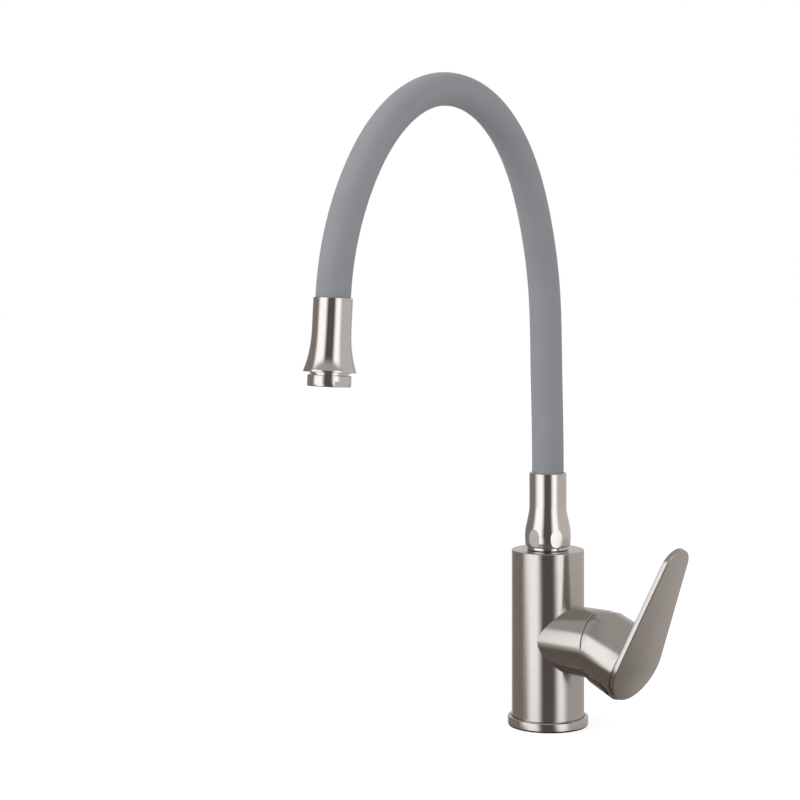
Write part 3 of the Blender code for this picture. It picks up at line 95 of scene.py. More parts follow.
class FaucetSizes(bpy.types.PropertyGroup):
    """The lengths that shape the visible pieces."""
    fit_gap: length("Fit gap", 0.0003, "Clearance between neighbouring pieces")
    body_radius: length("Body radius", BODY_BOX[1].y, "Outer radius of the body tube")
    body_top: length("Body top", BODY_BOX[1].z, "Height of the body's flat top")
    body_foot: length("Body foot", BODY_BOX[0].z, "Height of the body's lower end")
    body_wall: length("Body wall", 0.0022, "Wall of the body tube")
    body_ceiling: length("Body ceiling", 0.0030, "Thickness of the body's top")
    body_edge: length("Body edge", 0.0006, "Rounding of the body's top edge")
    branch_height: length("Branch height", JOINTS["handle_turn"]["pos_m"][2],
                          "Height of the branch's axis")
    branch_radius: length("Branch radius", 0.0213, "Outer radius of the branch")
    branch_bore: length("Branch bore", 0.0176, "Inner radius of the branch")
    branch_length: length("Branch length", BODY_BOX[1].x, "Reach of the branch's rim")
    pin_depth: length("Pin depth", JOINTS["handle_lift"]["pos_m"][0],
                      "Distance of the lever's pin from the body's axis")
    flange_radius: length("Flange radius", FLANGE_BOX[1].y, "Outer radius of the base ring")
    flange_top: length("Flange top", FLANGE_BOX[1].z, "Height of the base ring")
    dome_radius: length("Dome radius", 0.0215, "Radius of the cover's sphere about the pin")
    hub_rim_radius: length("Hub rim radius", 0.0226, "Radius of the hub at its open rim")
    hub_end_radius: length("Hub end radius", 0.0232, "Radius of the hub at the blade")
    hub_length: length("Hub length", 0.0260, "Distance from the pin to the hub's end")
    hub_wall: length("Hub wall", 0.0008, "Wall of the hub's skirt")
    blade_thickness: length("Blade thickness", 0.0032, "Thickness of the lever blade")
    blade_broad: length("Blade broad radius", 0.0230, "Radius of the blade's broad end")
    blade_tip: length("Blade tip radius", 0.0124, "Radius of the blade's tip")
    blade_span: length("Blade span", 0.06827, "Distance between the centres of its two ends")
    bell_top: length("Bell top", 0.1582, "Height where the hose leaves the bell nut")
    bell_collar: length("Bell collar radius", 0.0117, "Radius of the bell's straight collar")
    bell_bulge: length("Bell bulge radius", 0.0146, "Largest radius of the bell")
    bell_flats: length("Bell flats", 0.0281, "Width across the bell's six flats")
    hose_radius: length("Hose radius", 0.00997, "Outer radius of the silicone sleeve")
    sleeve_bore: length("Sleeve bore", 0.0073, "Inner radius of the silicone sleeve")
    neck_radius: length("Neck radius", 0.0070, "Outer radius of the wound steel neck")
    water_bore: length("Water bore", 0.0045, "Inner radius of the neck")
    hose_length: length("Hose length", 0.4550, "Visible length of the hose")
    hose_tuck: length("Hose tuck", 0.0120, "Length of hose hidden in the spray head")
    head_collar: length("Head collar radius", 0.01115, "Radius of the head's straight collar")
    head_lip: length("Head lip radius", 0.0150, "Radius of the head's flared lip")
    head_depth: length("Head depth", 0.0416, "Length of the head down to its lip")
    aerator_radius: length("Aerator radius", 0.0124, "Outer radius of the aerator ring")
    shank_radius: length("Shank radius", 0.0150, "Radius over the shank's thread")
    thread_pitch: length("Thread pitch", 0.0020, "Pitch of the shank's thread")
    clamp_radius: length("Clamp radius", 0.0240, "Radius of the washers under the deck")


class FaucetColours(bpy.types.PropertyGroup):
    """Colours as sRGB hex values."""
    steel: colour("Steel", "#CBC8C4", "Brushed stainless steel")
    steel_line: colour("Steel line", "#C0BDB8", "The darker brush lines in the steel")
    nickel: colour("Nickel", "#D3D0CC", "Satin nickel plate of the bell and the head")
    silicone: colour("Silicone", "#898B8F", "Matt grey sleeve of the hose")
    silicone_dark: colour("Silicone, darker", "#818286", "Slow variation in the sleeve")
    rubber: colour("Rubber", "#1C1C1D", "Gasket, washer and seals")
    brass: colour("Brass", "#B59152", "Turned brass of the shank and its nut")
    acetal: colour("Acetal", "#E2E0DA", "Moulded pieces inside")
    ceramic: colour("Ceramic", "#E9E5DC", "Lapped discs")
    index_red: colour("Index red", "#A81F1F", "The plug of the grub screw")
    floor: colour("Floor", "#D8D8D8", "Plain pale floor")


def sizes():
    return bpy.context.scene.faucet_sizes


def colours():
    return bpy.context.scene.faucet_colours


# Modelling helpers

def deselect_all():
    if bpy.context.object and bpy.context.object.mode != "OBJECT":
        bpy.ops.object.mode_set(mode="OBJECT")
    bpy.ops.object.select_all(action="DESELECT")


def pick(piece):
    deselect_all()
    piece.select_set(True)
    bpy.context.view_layer.objects.active = piece


def apply_modifiers(piece):
    pick(piece)
    for modifier in list(piece.modifiers):
        bpy.ops.object.modifier_apply(modifier=modifier.name)


def smooth(piece, angle=SHARP):
    pick(piece)
    bpy.ops.object.shade_smooth_by_angle(angle=angle)


def edit_whole():
    """Opens the active mesh with everything in it selected."""
    bpy.ops.object.mode_set(mode="EDIT")
    bpy.ops.mesh.select_all(action="SELECT")


def close_up(weld=True):
    """Merges points, turns the faces outwards and leaves the mesh."""
    if weld:
        bpy.ops.mesh.remove_doubles(threshold=SAME_POINT)
    bpy.ops.mesh.normals_make_consistent(inside=False)
    bpy.ops.object.mode_set(mode="OBJECT")


def named(name):
    piece = bpy.context.object
    piece.name = name
    piece.data.name = name
    return piece


def lathe(name, profile, steps, place=None):
    """Extrudes one point along (radius, height) pairs and spins the line about Z."""
    deselect_all()
    bpy.ops.mesh.primitive_plane_add(size=0.01)
    piece = named(name)
    bpy.ops.object.mode_set(mode="EDIT")
    bpy.ops.mesh.merge(type="CENTER")
    bpy.ops.transform.translate(value=(profile[0][0], 0.0, profile[0][1]))
    for (r1, h1), (r2, h2) in zip(profile, profile[1:]):
        bpy.ops.mesh.extrude_region_move(
            TRANSFORM_OT_translate={"value": (r2 - r1, 0.0, h2 - h1)})
    bpy.ops.mesh.select_all(action="SELECT")
    bpy.ops.mesh.spin(steps=steps, angle=math.tau, center=(0, 0, 0), axis=(0, 0, 1))
    bpy.ops.mesh.select_all(action="SELECT")
    close_up()
    if place is not None:
        piece.data.transform(place)
    return piece


def closed(profile):
    return [*profile, profile[0]]


def cylinder(name, radius, low, high, sides, place=None):
    deselect_all()
    bpy.ops.mesh.primitive_cylinder_add(vertices=sides, radius=radius, depth=high - low,
                                        location=(0, 0, (low + high) / 2))
    return moved(named(name), place)


def box(name, low, high, place=None):
    deselect_all()
    middle = [(a + b) / 2 for a, b in zip(low, high)]
    bpy.ops.mesh.primitive_cube_add(size=1.0, location=middle,
                                    scale=[b - a for a, b in zip(low, high)])
    return moved(named(name), place)


def moved(piece, place):
    """Puts the object's place, and then another, into its mesh."""
    pick(piece)
    bpy.ops.object.transform_apply(location=True, rotation=True, scale=True)
    if place is not None:
        piece.data.transform(place)
    return piece


def carve(piece, tool, operation="DIFFERENCE"):
    """Applies a Boolean and removes its tool."""
    modifier = piece.modifiers.new(tool.name, "BOOLEAN")
    modifier.operation = operation
    modifier.solver = "EXACT"
    modifier.object = tool
    apply_modifiers(piece)
    bpy.data.objects.remove(tool, do_unlink=True)
    return piece


def arc(radius, start, end, steps, centre=(0.0, 0.0)):
    """(radius, height) points on a circle, by degrees from straight up."""
    points = []
    for i in range(steps + 1):
        a = math.radians(start + (end - start) * i / steps)
        points.append((centre[0] + radius * math.sin(a), centre[1] + radius * math.cos(a)))
    return points


def finish_piece(piece, body, looks, nodes, angle=SHARP):
    """Shades the piece, gives it its finishes and hangs it on its body."""
    smooth(piece, angle)
    for look in looks:
        piece.data.materials.append(finish(look))
    if body:
        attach(piece, body)
    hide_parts(*nodes)


def node_span(node, place):
    """Highest and lowest height of a node in a frame."""
    back = place.inverted()
    heights = [(back @ v.co).z for v in frame["nodes"][node].data.vertices]
    return max(heights), min(heights)


def heights(node):
    """Lowest and highest height of a node."""
    low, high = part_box(node)
    return low.z, high.z


def branch_place():
    """The branch's frame: local Z out along the branch, local X up."""
    return (Matrix.Translation((0, 0, sizes().branch_height))
            @ Matrix.Rotation(math.pi, 4, "Z") @ Matrix.Rotation(-math.pi / 2, 4, "Y"))


def lever_place():
    """The lever's frame: origin on the pin, local Z out along the hub."""
    return (branch_place() @ Matrix.Translation((0, 0, sizes().pin_depth))
            @ Matrix.Rotation(-LEVER_TILT, 4, "Y"))


# The hose's route

def hose_heading(share):
    """Degrees above the horizon of the hose's axis, at a share of its visible length."""
    spans = len(HOSE_HEADINGS) - 1
    position = min(max(share, 0.0), 1.0) * spans
    i = min(int(position), spans - 1)
    t = position - i
    here, there = HOSE_HEADINGS[i], HOSE_HEADINGS[i + 1]
    before = HOSE_HEADINGS[i - 1] if i > 0 else 2 * here - there
    after = HOSE_HEADINGS[i + 2] if i + 2 <= spans else 2 * there - here
    return 0.5 * (2 * here + (there - before) * t
                  + (2 * before - 5 * here + 4 * there - after) * t ** 2
                  + (3 * here - before - 3 * there + after) * t ** 3)


def hose_direction(share):
    angle = math.radians(hose_heading(share))
    return Vector((0.0, -math.cos(angle), math.sin(angle)))


def hose_route(step=0.0005):
    """(length, point) pairs from inside the bell to the tuck inside the head."""
    s = sizes()
    count = round(s.hose_length / step)
    in_bell = 0.0185
    point = Vector((0.0, 0.0, s.bell_top))
    route = [(-in_bell, point + Vector((0.0, 0.0, -in_bell))), (0.0, point.copy())]
    for i in range(count):
        point = point + hose_direction((i + 0.5) / count) * (s.hose_length / count)
        route.append(((i + 1) * s.hose_length / count, point.copy()))
    end = hose_direction(1.0)
    route.append((s.hose_length + s.hose_tuck, point + end * s.hose_tuck))
    return route


def route_point(route, at):
    """The point at a length along the route."""
    for (l1, p1), (l2, p2) in zip(route, route[1:]):
        if l1 <= at <= l2:
            return p1.lerp(p2, (at - l1) / (l2 - l1))
    return route[0][1] if at < route[0][0] else route[-1][1]


# Materials

def linear(hexadecimal):
    """A linear RGBA colour from an sRGB hex value."""
    values = [int(hexadecimal[i:i + 2], 16) / 255 for i in (1, 3, 5)]
    return (*[v / 12.92 if v <= 0.04045 else ((v + 0.055) / 1.055) ** 2.4 for v in values], 1.0)


def add_node(tree, kind, values=None, links=None, **settings):
    """One node with its settings, socket values and incoming links."""
    node = tree.nodes.new(kind)
    for name, value in settings.items():
        setattr(node, name, value)
    for name, value in (values or {}).items():
        node.inputs[name].default_value = value
    for name, socket in (links or {}).items():
        tree.links.new(socket, node.inputs[name])
    return node


def new_material(name, **values):
    """A material with its shader, whose plain values are set on its own sockets."""
    material = bpy.data.materials.new(name)
    material.use_nodes = True
    shader = material.node_tree.nodes["Principled BSDF"]
    for key, value in values.items():
        shader.inputs[key.replace("_", " ")].default_value = value
    return material, material.node_tree, shader


def noise(tree, vector, scale, detail, **more):
    """The strength of a noise."""
    node = add_node(tree, "ShaderNodeTexNoise", {"Scale": scale, "Detail": detail, **more},
                    {"Vector": vector})
    return node.outputs["Fac"]


def between(tree, share, low, high):
    """A value from low to high."""
    node = add_node(tree, "ShaderNodeMapRange", {"To Min": low, "To Max": high},
                    {"Value": share})
    return node.outputs["Result"]


def mixed(tree, share, first, second):
    """A colour from the first to the second."""
    node = add_node(tree, "ShaderNodeMix", {"A": first, "B": second}, {"Factor": share},
                    data_type="RGBA")
    return node.outputs["Result"]


def bump(tree, height, strength, distance):
    node = add_node(tree, "ShaderNodeBump", {"Strength": strength, "Distance": distance},
                    {"Height": height})
    return node.outputs["Normal"]


def shader_mix(tree, share, first, second):
    """A shader from the first to the second."""
    node = add_node(tree, "ShaderNodeMixShader", None, {0: share, 1: first, 2: second})
    return node.outputs[0]


def connect(tree, shader, **sockets):
    """Links sockets to the shader's own, an underscore standing for a blank."""
    for name, socket in sockets.items():
        tree.links.new(socket, shader.inputs[name.replace("_", " ")])


def around(tree, place, axis, centre):
    """The direction round an axis, for the tangent of a brushed surface."""
    arm = add_node(tree, "ShaderNodeVectorMath", {1: centre}, {0: place}, operation="SUBTRACT")
    ring = add_node(tree, "ShaderNodeVectorMath", {0: axis}, {1: arm.outputs["Vector"]},
                    operation="CROSS_PRODUCT")
    shown = add_node(tree, "ShaderNodeVectorTransform", None, {"Vector": ring.outputs["Vector"]},
                     vector_type="VECTOR", convert_from="OBJECT", convert_to="WORLD")
    unit = add_node(tree, "ShaderNodeVectorMath", None, {0: shown.outputs["Vector"]},
                    operation="NORMALIZE")
    return unit.outputs["Vector"]


def lined(tree, place, turn, scale):
    """Coordinates turned onto a piece's axis and scaled, for brush lines and turning marks."""
    turned = add_node(tree, "ShaderNodeMapping", {"Rotation": turn}, {"Vector": place},
                      vector_type="TEXTURE")
    scaled = add_node(tree, "ShaderNodeMapping", {"Scale": scale},
                      {"Vector": turned.outputs["Vector"]})
    return scaled.outputs["Vector"]


def brushed_steel(name, turn, axis, centre, roughness=0.19):
    """Stainless steel, brushed round an axis: a reflection is crisp round the piece and drawn
    out along the axis."""
    c = colours()
    material, tree, shader = new_material(name, Metallic=1.0, Anisotropic=0.6,
                                          Anisotropic_Rotation=0.25)
    place = add_node(tree, "ShaderNodeTexCoord").outputs["Object"]
    # Brush lines about 0.9 mm apart, as the bundles of finer scratches show
    lines = noise(tree, lined(tree, place, turn, (25.0, 25.0, 1000 / 0.9)), 1.0, 4.0,
                  Roughness=0.65)
    cloud = noise(tree, place, 60.0, 3.0)
    connect(tree, shader,
            Base_Color=mixed(tree, lines, linear(c.steel_line), linear(c.steel)),
            Roughness=between(tree, cloud, roughness - 0.02, roughness + 0.02),
            Tangent=around(tree, place, axis, centre))
    return material


def satin_nickel(name, turn):
    """Nickel plate over turned brass: nearly polished, with faint turning marks."""
    material, tree, shader = new_material(name, Metallic=1.0,
                                          Base_Color=linear(colours().nickel))
    place = add_node(tree, "ShaderNodeTexCoord").outputs["Object"]
    # Turning marks 1.2 mm apart
    marks = noise(tree, lined(tree, place, turn, (20.0, 20.0, 830.0)), 1.0, 3.0)
    connect(tree, shader, Roughness=between(tree, marks, 0.09, 0.13))
    return material


def extruded_silicone():
    """Silicone rubber, extruded and rubbed dull: soft highlight, fine grain, faint clouding."""
    c = colours()
    material, tree, shader = new_material("extruded_silicone", Specular_IOR_Level=0.35,
                                          Sheen_Weight=0.12, Sheen_Roughness=0.5)
    place = add_node(tree, "ShaderNodeTexCoord").outputs["Object"]
    cloud = noise(tree, place, 45.0, 4.0)
    # Grain of about 0.5 mm
    grain = noise(tree, place, 2000.0, 2.0)
    connect(tree, shader,
            Base_Color=mixed(tree, cloud, linear(c.silicone_dark), linear(c.silicone)),
            Roughness=between(tree, grain, 0.55, 0.70), Normal=bump(tree, grain, 0.12, 0.00008))
    return material


def plain_finish(name, hexadecimal, roughness, metallic, grain_mm, strength):
    """A finish of one colour with its grain in the gloss and the bump."""
    material, tree, shader = new_material(name, Metallic=metallic)
    place = add_node(tree, "ShaderNodeTexCoord").outputs["Object"]
    grain = noise(tree, place, 1000 / grain_mm, 3.0)
    cloud = noise(tree, place, 80.0, 2.0)
    base = linear(hexadecimal)
    darker = (*[channel * 0.85 for channel in base[:3]], 1.0)
    connect(tree, shader, Base_Color=mixed(tree, cloud, darker, base),
            Roughness=between(tree, grain, roughness - 0.06, roughness + 0.06),
            Normal=bump(tree, grain, strength, 0.00005))
    return material


def finish(name):
    """A finish by its name, made once."""
    if name in bpy.data.materials:
        return bpy.data.materials[name]
    c = colours()
    pin = JOINTS["handle_lift"]["pos_m"]
    hub_axis = (math.cos(LEVER_TILT), 0.0, -math.sin(LEVER_TILT))
    # Turn of the brush lines, the axis that they go round and a point on it
    steel = {
        "brushed_stainless_body": ((0.0, 0.0, 0.0), (0, 0, 1), (0, 0, 0)),
        "brushed_stainless_branch": ((0.0, math.pi / 2, 0.0), (1, 0, 0), pin),
        "brushed_stainless_hub": ((0.0, math.pi / 2 + LEVER_TILT, 0.0), hub_axis, pin),
        "brushed_stainless_blade": ((math.pi / 2, 0.0, 0.0), hub_axis, pin, 0.24),
    }
    # Turn of the turning marks
    nickel = {"satin_nickel_bell": 0.0, "satin_nickel_head": math.radians(-4)}
    # Colour, roughness, metallic, and the grain's size in mm and strength
    plain = {
        "wound_steel_neck": ("#8F8F92", 0.35, 1.0, 0.8, 0.3),  # bare steel strip
        "moulded_epdm": (c.rubber, 0.65, 0.0, 0.5, 0.25),  # matt black rubber
        "turned_brass": (c.brass, 0.32, 1.0, 0.6, 0.12),  # unplated, as it left the lathe
        "moulded_acetal": (c.acetal, 0.42, 0.0, 0.6, 0.10),  # natural white plastic
        "lapped_alumina": (c.ceramic, 0.18, 0.0, 0.4, 0.03),  # ceramic, ground smooth
        "moulded_red_abs": (c.index_red, 0.35, 0.0, 0.5, 0.08),  # semi-gloss plastic
    }
    if name in steel:
        return brushed_steel(name, *steel[name])
    if name in nickel:
        return satin_nickel(name, (nickel[name], 0.0, 0.0))
    if name in plain:
        return plain_finish(name, *plain[name])
    return extruded_silicone()


# Pieces

class FAUCET_OT_base(bpy.types.Operator):
    """Gasket and base ring on the deck"""
    bl_idname = "faucet.base"
    bl_label = "Base ring and gasket"

    def execute(self, context):
        s = sizes()
        hole, gasket, thick, lip = 0.0175, GASKET_BOX[1].y, GASKET_BOX[1].z, 0.0002
        profile = [(gasket, thick), (gasket, lip), (gasket - lip, 0.0), (hole, 0.0),
                   (hole, thick)]
        ring = lathe("deck_gasket", closed(profile), 96)
        finish_piece(ring, "tap", ["moulded_epdm"], ["base_gasket"])
        # The base ring rests on the gasket, and the body stands on its floor
        low, floor = thick, FLANGE_BOX[0].z + 0.0012
        recess, edge, foot = s.body_radius + s.fit_gap, 0.0009, 0.0003
        outer = arc(edge, 0, 90, 4, (s.flange_radius - edge, s.flange_top - edge))
        profile = [(recess, s.flange_top), *outer, (s.flange_radius, low + foot),
                   (s.flange_radius - foot, low), (hole, low), (hole, floor),
                   (recess, floor)]
        flange = lathe("base_ring", closed(profile), 128)
        finish_piece(flange, "tap", ["brushed_stainless_body"], ["base_flange"])
        return {"FINISHED"}


class FAUCET_OT_body(bpy.types.Operator):
    """Body tube with its branch"""
    bl_idname = "faucet.body"
    bl_label = "Body tube and branch"

    def execute(self, context):
        s = sizes()
        place = branch_place()
        rim = arc(s.body_edge, 0, 90, 9, (s.body_radius - s.body_edge, s.body_top - s.body_edge))
        profile = [(0.0, s.body_top), *rim, (s.body_radius, s.body_foot), (0.0, s.body_foot)]
        tube = lathe("body_tube", profile, 128)
        edge = s.body_edge
        end = arc(edge, 0, 90, 9, (s.branch_radius - edge, s.branch_length - edge))
        branch = lathe("branch_tool", [(0.0, s.branch_length), *end, (s.branch_radius, 0.0),
                                       (0.0, 0.0)], 112, place)
        carve(tube, branch, "UNION")
        bore = s.body_radius - s.body_wall
        ceiling = s.body_top - s.body_ceiling
        hole, over, under = 0.0083, s.body_top + OVERRUN, s.body_foot - OVERRUN
        hollow = lathe("hollow_tool", [(0.0, over), (hole, over), (hole, ceiling),
                                       (bore, ceiling), (bore, under), (0.0, under)], 96)
        carve(tube, hollow)
        chamfer, out = 0.0005, 0.001
        bored = lathe("bore_tool", [(0.0, s.branch_length + out),
                                    (s.branch_bore + chamfer + out, s.branch_length + out),
                                    (s.branch_bore, s.branch_length - chamfer),
                                    (s.branch_bore, 0.0), (0.0, 0.0)], 96, place)
        carve(tube, bored)
        finish_piece(tube, "tap", ["brushed_stainless_body", "brushed_stainless_branch"],
                     ["body_shell"], math.radians(12))
        # The branch is brushed round its own axis
        margin = 0.0001
        for face in tube.data.polygons:
            x, y, z = face.center
            outside = math.hypot(x, y) > s.body_radius + margin
            if outside and math.hypot(y, z - s.branch_height) <= s.branch_radius + margin:
                face.material_index = 1
        return {"FINISHED"}


class FAUCET_OT_cover(bpy.types.Operator):
    """Domed ring between the branch and the hub"""
    bl_idname = "faucet.cover"
    bl_label = "Domed cover"

    def execute(self, context):
        s = sizes()
        lip = s.branch_length + s.fit_gap
        skirt, bore, deep, edge, rise = 0.0173, 0.0159, 0.0013, 0.0006, 0.0005
        mouth = math.degrees(math.asin(bore / s.dome_radius))
        base = math.degrees(math.asin(s.branch_radius / s.dome_radius))
        outside = arc(s.dome_radius, mouth, base, 24, (0.0, s.pin_depth))
        profile = [*outside, (s.branch_radius, lip + rise), (s.branch_radius - edge, lip),
                   (skirt, lip), (skirt, lip - deep), (bore, lip - deep)]
        dome = lathe("cover_ring", closed(profile), 112, branch_place())
        finish_piece(dome, "tap", ["brushed_stainless_branch"], ["cover_dome"])
        return {"FINISHED"}


class FAUCET_OT_lever(bpy.types.Operator):
    """Skirted hub and teardrop blade"""
    bl_idname = "faucet.lever"
    bl_label = "Lever"

    def execute(self, context):
        self.hub()
        self.blade()
        return {"FINISHED"}

    def hub(self):
        s = sizes()
        cavity, half, gap = 0.0203, 0.0040, s.fit_gap
        spindle_end, screw_height, screw_hole = 0.0249, 0.0231, 0.0023
        bore = s.hub_rim_radius - s.hub_wall
        end = arc(0.0002, 0, 90, 2, (s.hub_end_radius - 0.0002, s.hub_length - 0.0002))
        profile = [(0.0, s.hub_length), *end, (s.hub_rim_radius + 0.0001, 0.0003),
                   (s.hub_rim_radius - 0.0002, 0.0), (bore + 0.0004, 0.0), (bore, 0.0006),
                   (bore, cavity), (0.0, cavity)]
        place = lever_place()
        hub = lathe("lever_hub", profile, 128, place)
        reach = s.hub_end_radius + OVERRUN
        pin = branch_place() @ Matrix.Translation((0, 0, s.pin_depth))
        relief = box("relief_tool", (-2 * reach, -reach, -reach), (0.0, reach, 0.0), pin)
        carve(hub, relief)
        socket = box("socket_tool", (-half - gap, -half - gap, cavity - OVERRUN),
                     (half + gap, half + gap, spindle_end + gap), place)
        carve(hub, socket)
        screw = (place @ Matrix.Translation((0, 0, screw_height))
                 @ Matrix.Rotation(-math.pi / 2, 4, "Y"))
        hole = cylinder("screw_tool", screw_hole, 0.0, reach, 32, screw)
        carve(hub, hole)
        finish_piece(hub, "lever", ["brushed_stainless_hub"], ["handle_hub"])

    def blade(self):
        """The hull of two discs, flattened and with its edge rounded."""
        s = sizes()
        rise, edge = 0.0016, 0.0007
        thickness = s.blade_thickness + s.fit_gap
        deselect_all()
        bpy.ops.mesh.primitive_cylinder_add(vertices=128, radius=s.blade_broad, depth=thickness,
                                            location=(rise, 0, 0))
        blade = named("lever_plate")
        bpy.ops.object.transform_apply(location=True, rotation=True, scale=True)
        bpy.ops.object.mode_set(mode="EDIT")
        bpy.ops.mesh.primitive_cylinder_add(vertices=96, radius=s.blade_tip, depth=thickness,
                                            location=(rise + s.blade_span, 0, 0))
        bpy.ops.mesh.select_all(action="SELECT")
        bpy.ops.mesh.convex_hull()
        bpy.ops.mesh.select_all(action="SELECT")
        bpy.ops.mesh.dissolve_limited(angle_limit=math.radians(0.5))
        close_up(weld=False)
        bevel = blade.modifiers.new("Edge", "BEVEL")
        bevel.width = edge
        bevel.segments = 4
        bevel.limit_method = "ANGLE"
        bevel.angle_limit = math.radians(40)
        apply_modifiers(blade)
        height = s.hub_length + thickness / 2
        blade.data.transform(lever_place() @ Matrix.Translation((0, 0, height)))
        finish_piece(blade, "lever", ["brushed_stainless_blade"],
                     ["lever_blade"], math.radians(20))


class FAUCET_OT_swivel(bpy.types.Operator):
    """Swivel spigot and the bell nut with its six oval flats"""
    bl_idname = "faucet.swivel"
    bl_label = "Swivel and bell nut"

    def execute(self, context):
        self.spigot()
        self.bell()
        return {"FINISHED"}

    def spigot(self):
        s = sizes()
        low = s.body_top + s.fit_gap
        flange_top = low + 0.0020
        top, clip, seal = flange_top + 0.0157, flange_top + 0.0134, flange_top + 0.0078
        radius, clip_floor, seal_floor, bore = 0.0086, 0.0076, 0.0072, 0.0050
        clip_half, seal_half, edge = 0.0009, 0.0010, 0.0004
        flange, thread, thread_end = 0.0131, 0.0080, low - 0.0125
        rim = arc(edge, 0, 90, 3, (flange - edge, flange_top - edge))
        profile = [(radius - edge, top), (radius, top - edge), (radius, clip + clip_half),
                   (clip_floor, clip + clip_half), (clip_floor, clip - clip_half),
                   (radius, clip - clip_half), (radius, seal + seal_half),
                   (seal_floor, seal + seal_half), (seal_floor, seal - seal_half),
                   (radius, seal - seal_half), (radius, flange_top), *rim,
                   (flange, low + 0.0002), (flange - 0.0002, low), (thread, low),
                   (thread, thread_end), (bore, thread_end), (bore, top)]
        spigot = lathe("swivel_seat", closed(profile), 96)
        finish_piece(spigot, "tap", ["satin_nickel_bell"], ["swivel_spigot"])

    def bell(self):
        s = sizes()
        low = s.body_top + 2 * s.fit_gap + 0.0020
        foot_radius, bulge_height, collar_low = 0.0139, 0.1185, s.bell_top - 0.0205
        edge, swell_steps, foot_steps = 0.0004, 24, 14
        points = [(0.0, s.bell_top), *arc(edge, 0, 90, 3,
                                          (s.bell_collar - edge, s.bell_top - edge))]
        for i in range(swell_steps + 1):
            share = i / swell_steps
            swell = share * share * (3 - 2 * share) * (s.bell_bulge - s.bell_collar)
            points.append((s.bell_collar + swell,
                           collar_low + (bulge_height - collar_low) * share))
        for i in range(1, foot_steps + 1):
            angle = math.pi / 2 * i / foot_steps
            points.append((foot_radius + (s.bell_bulge - foot_radius) * math.cos(angle),
                           bulge_height - (bulge_height - low) * math.sin(angle)))
        points.append((0.0, low))
        bell = lathe("bell_collar", points, 144)
        corner = s.bell_flats / 2 / math.cos(math.pi / 6)
        over, under = s.bell_top + OVERRUN, low - OVERRUN
        flats = cylinder("flats_tool", corner, under, over, 6,
                         Matrix.Rotation(math.radians(30), 4, "Z"))
        carve(bell, flats, "INTERSECT")
        # Bored for the hose above the shoulder and for the spigot, with the clip's groove, below
        clip, half, shoulder = low - s.fit_gap + 0.0134, 0.0009, low + 0.0168
        upper, lower, groove = s.hose_radius + s.fit_gap, 0.0090, 0.0098
        bore = lathe("bore_tool", [(0.0, over), (upper, over), (upper, shoulder),
                                   (lower, shoulder), (lower, clip + half),
                                   (groove, clip + half), (groove, clip - half),
                                   (lower, clip - half), (lower, under), (0.0, under)], 96)
        carve(bell, bore)
        finish_piece(bell, "spout_foot", ["satin_nickel_bell"],
                     ["bell_nut"], math.radians(9))


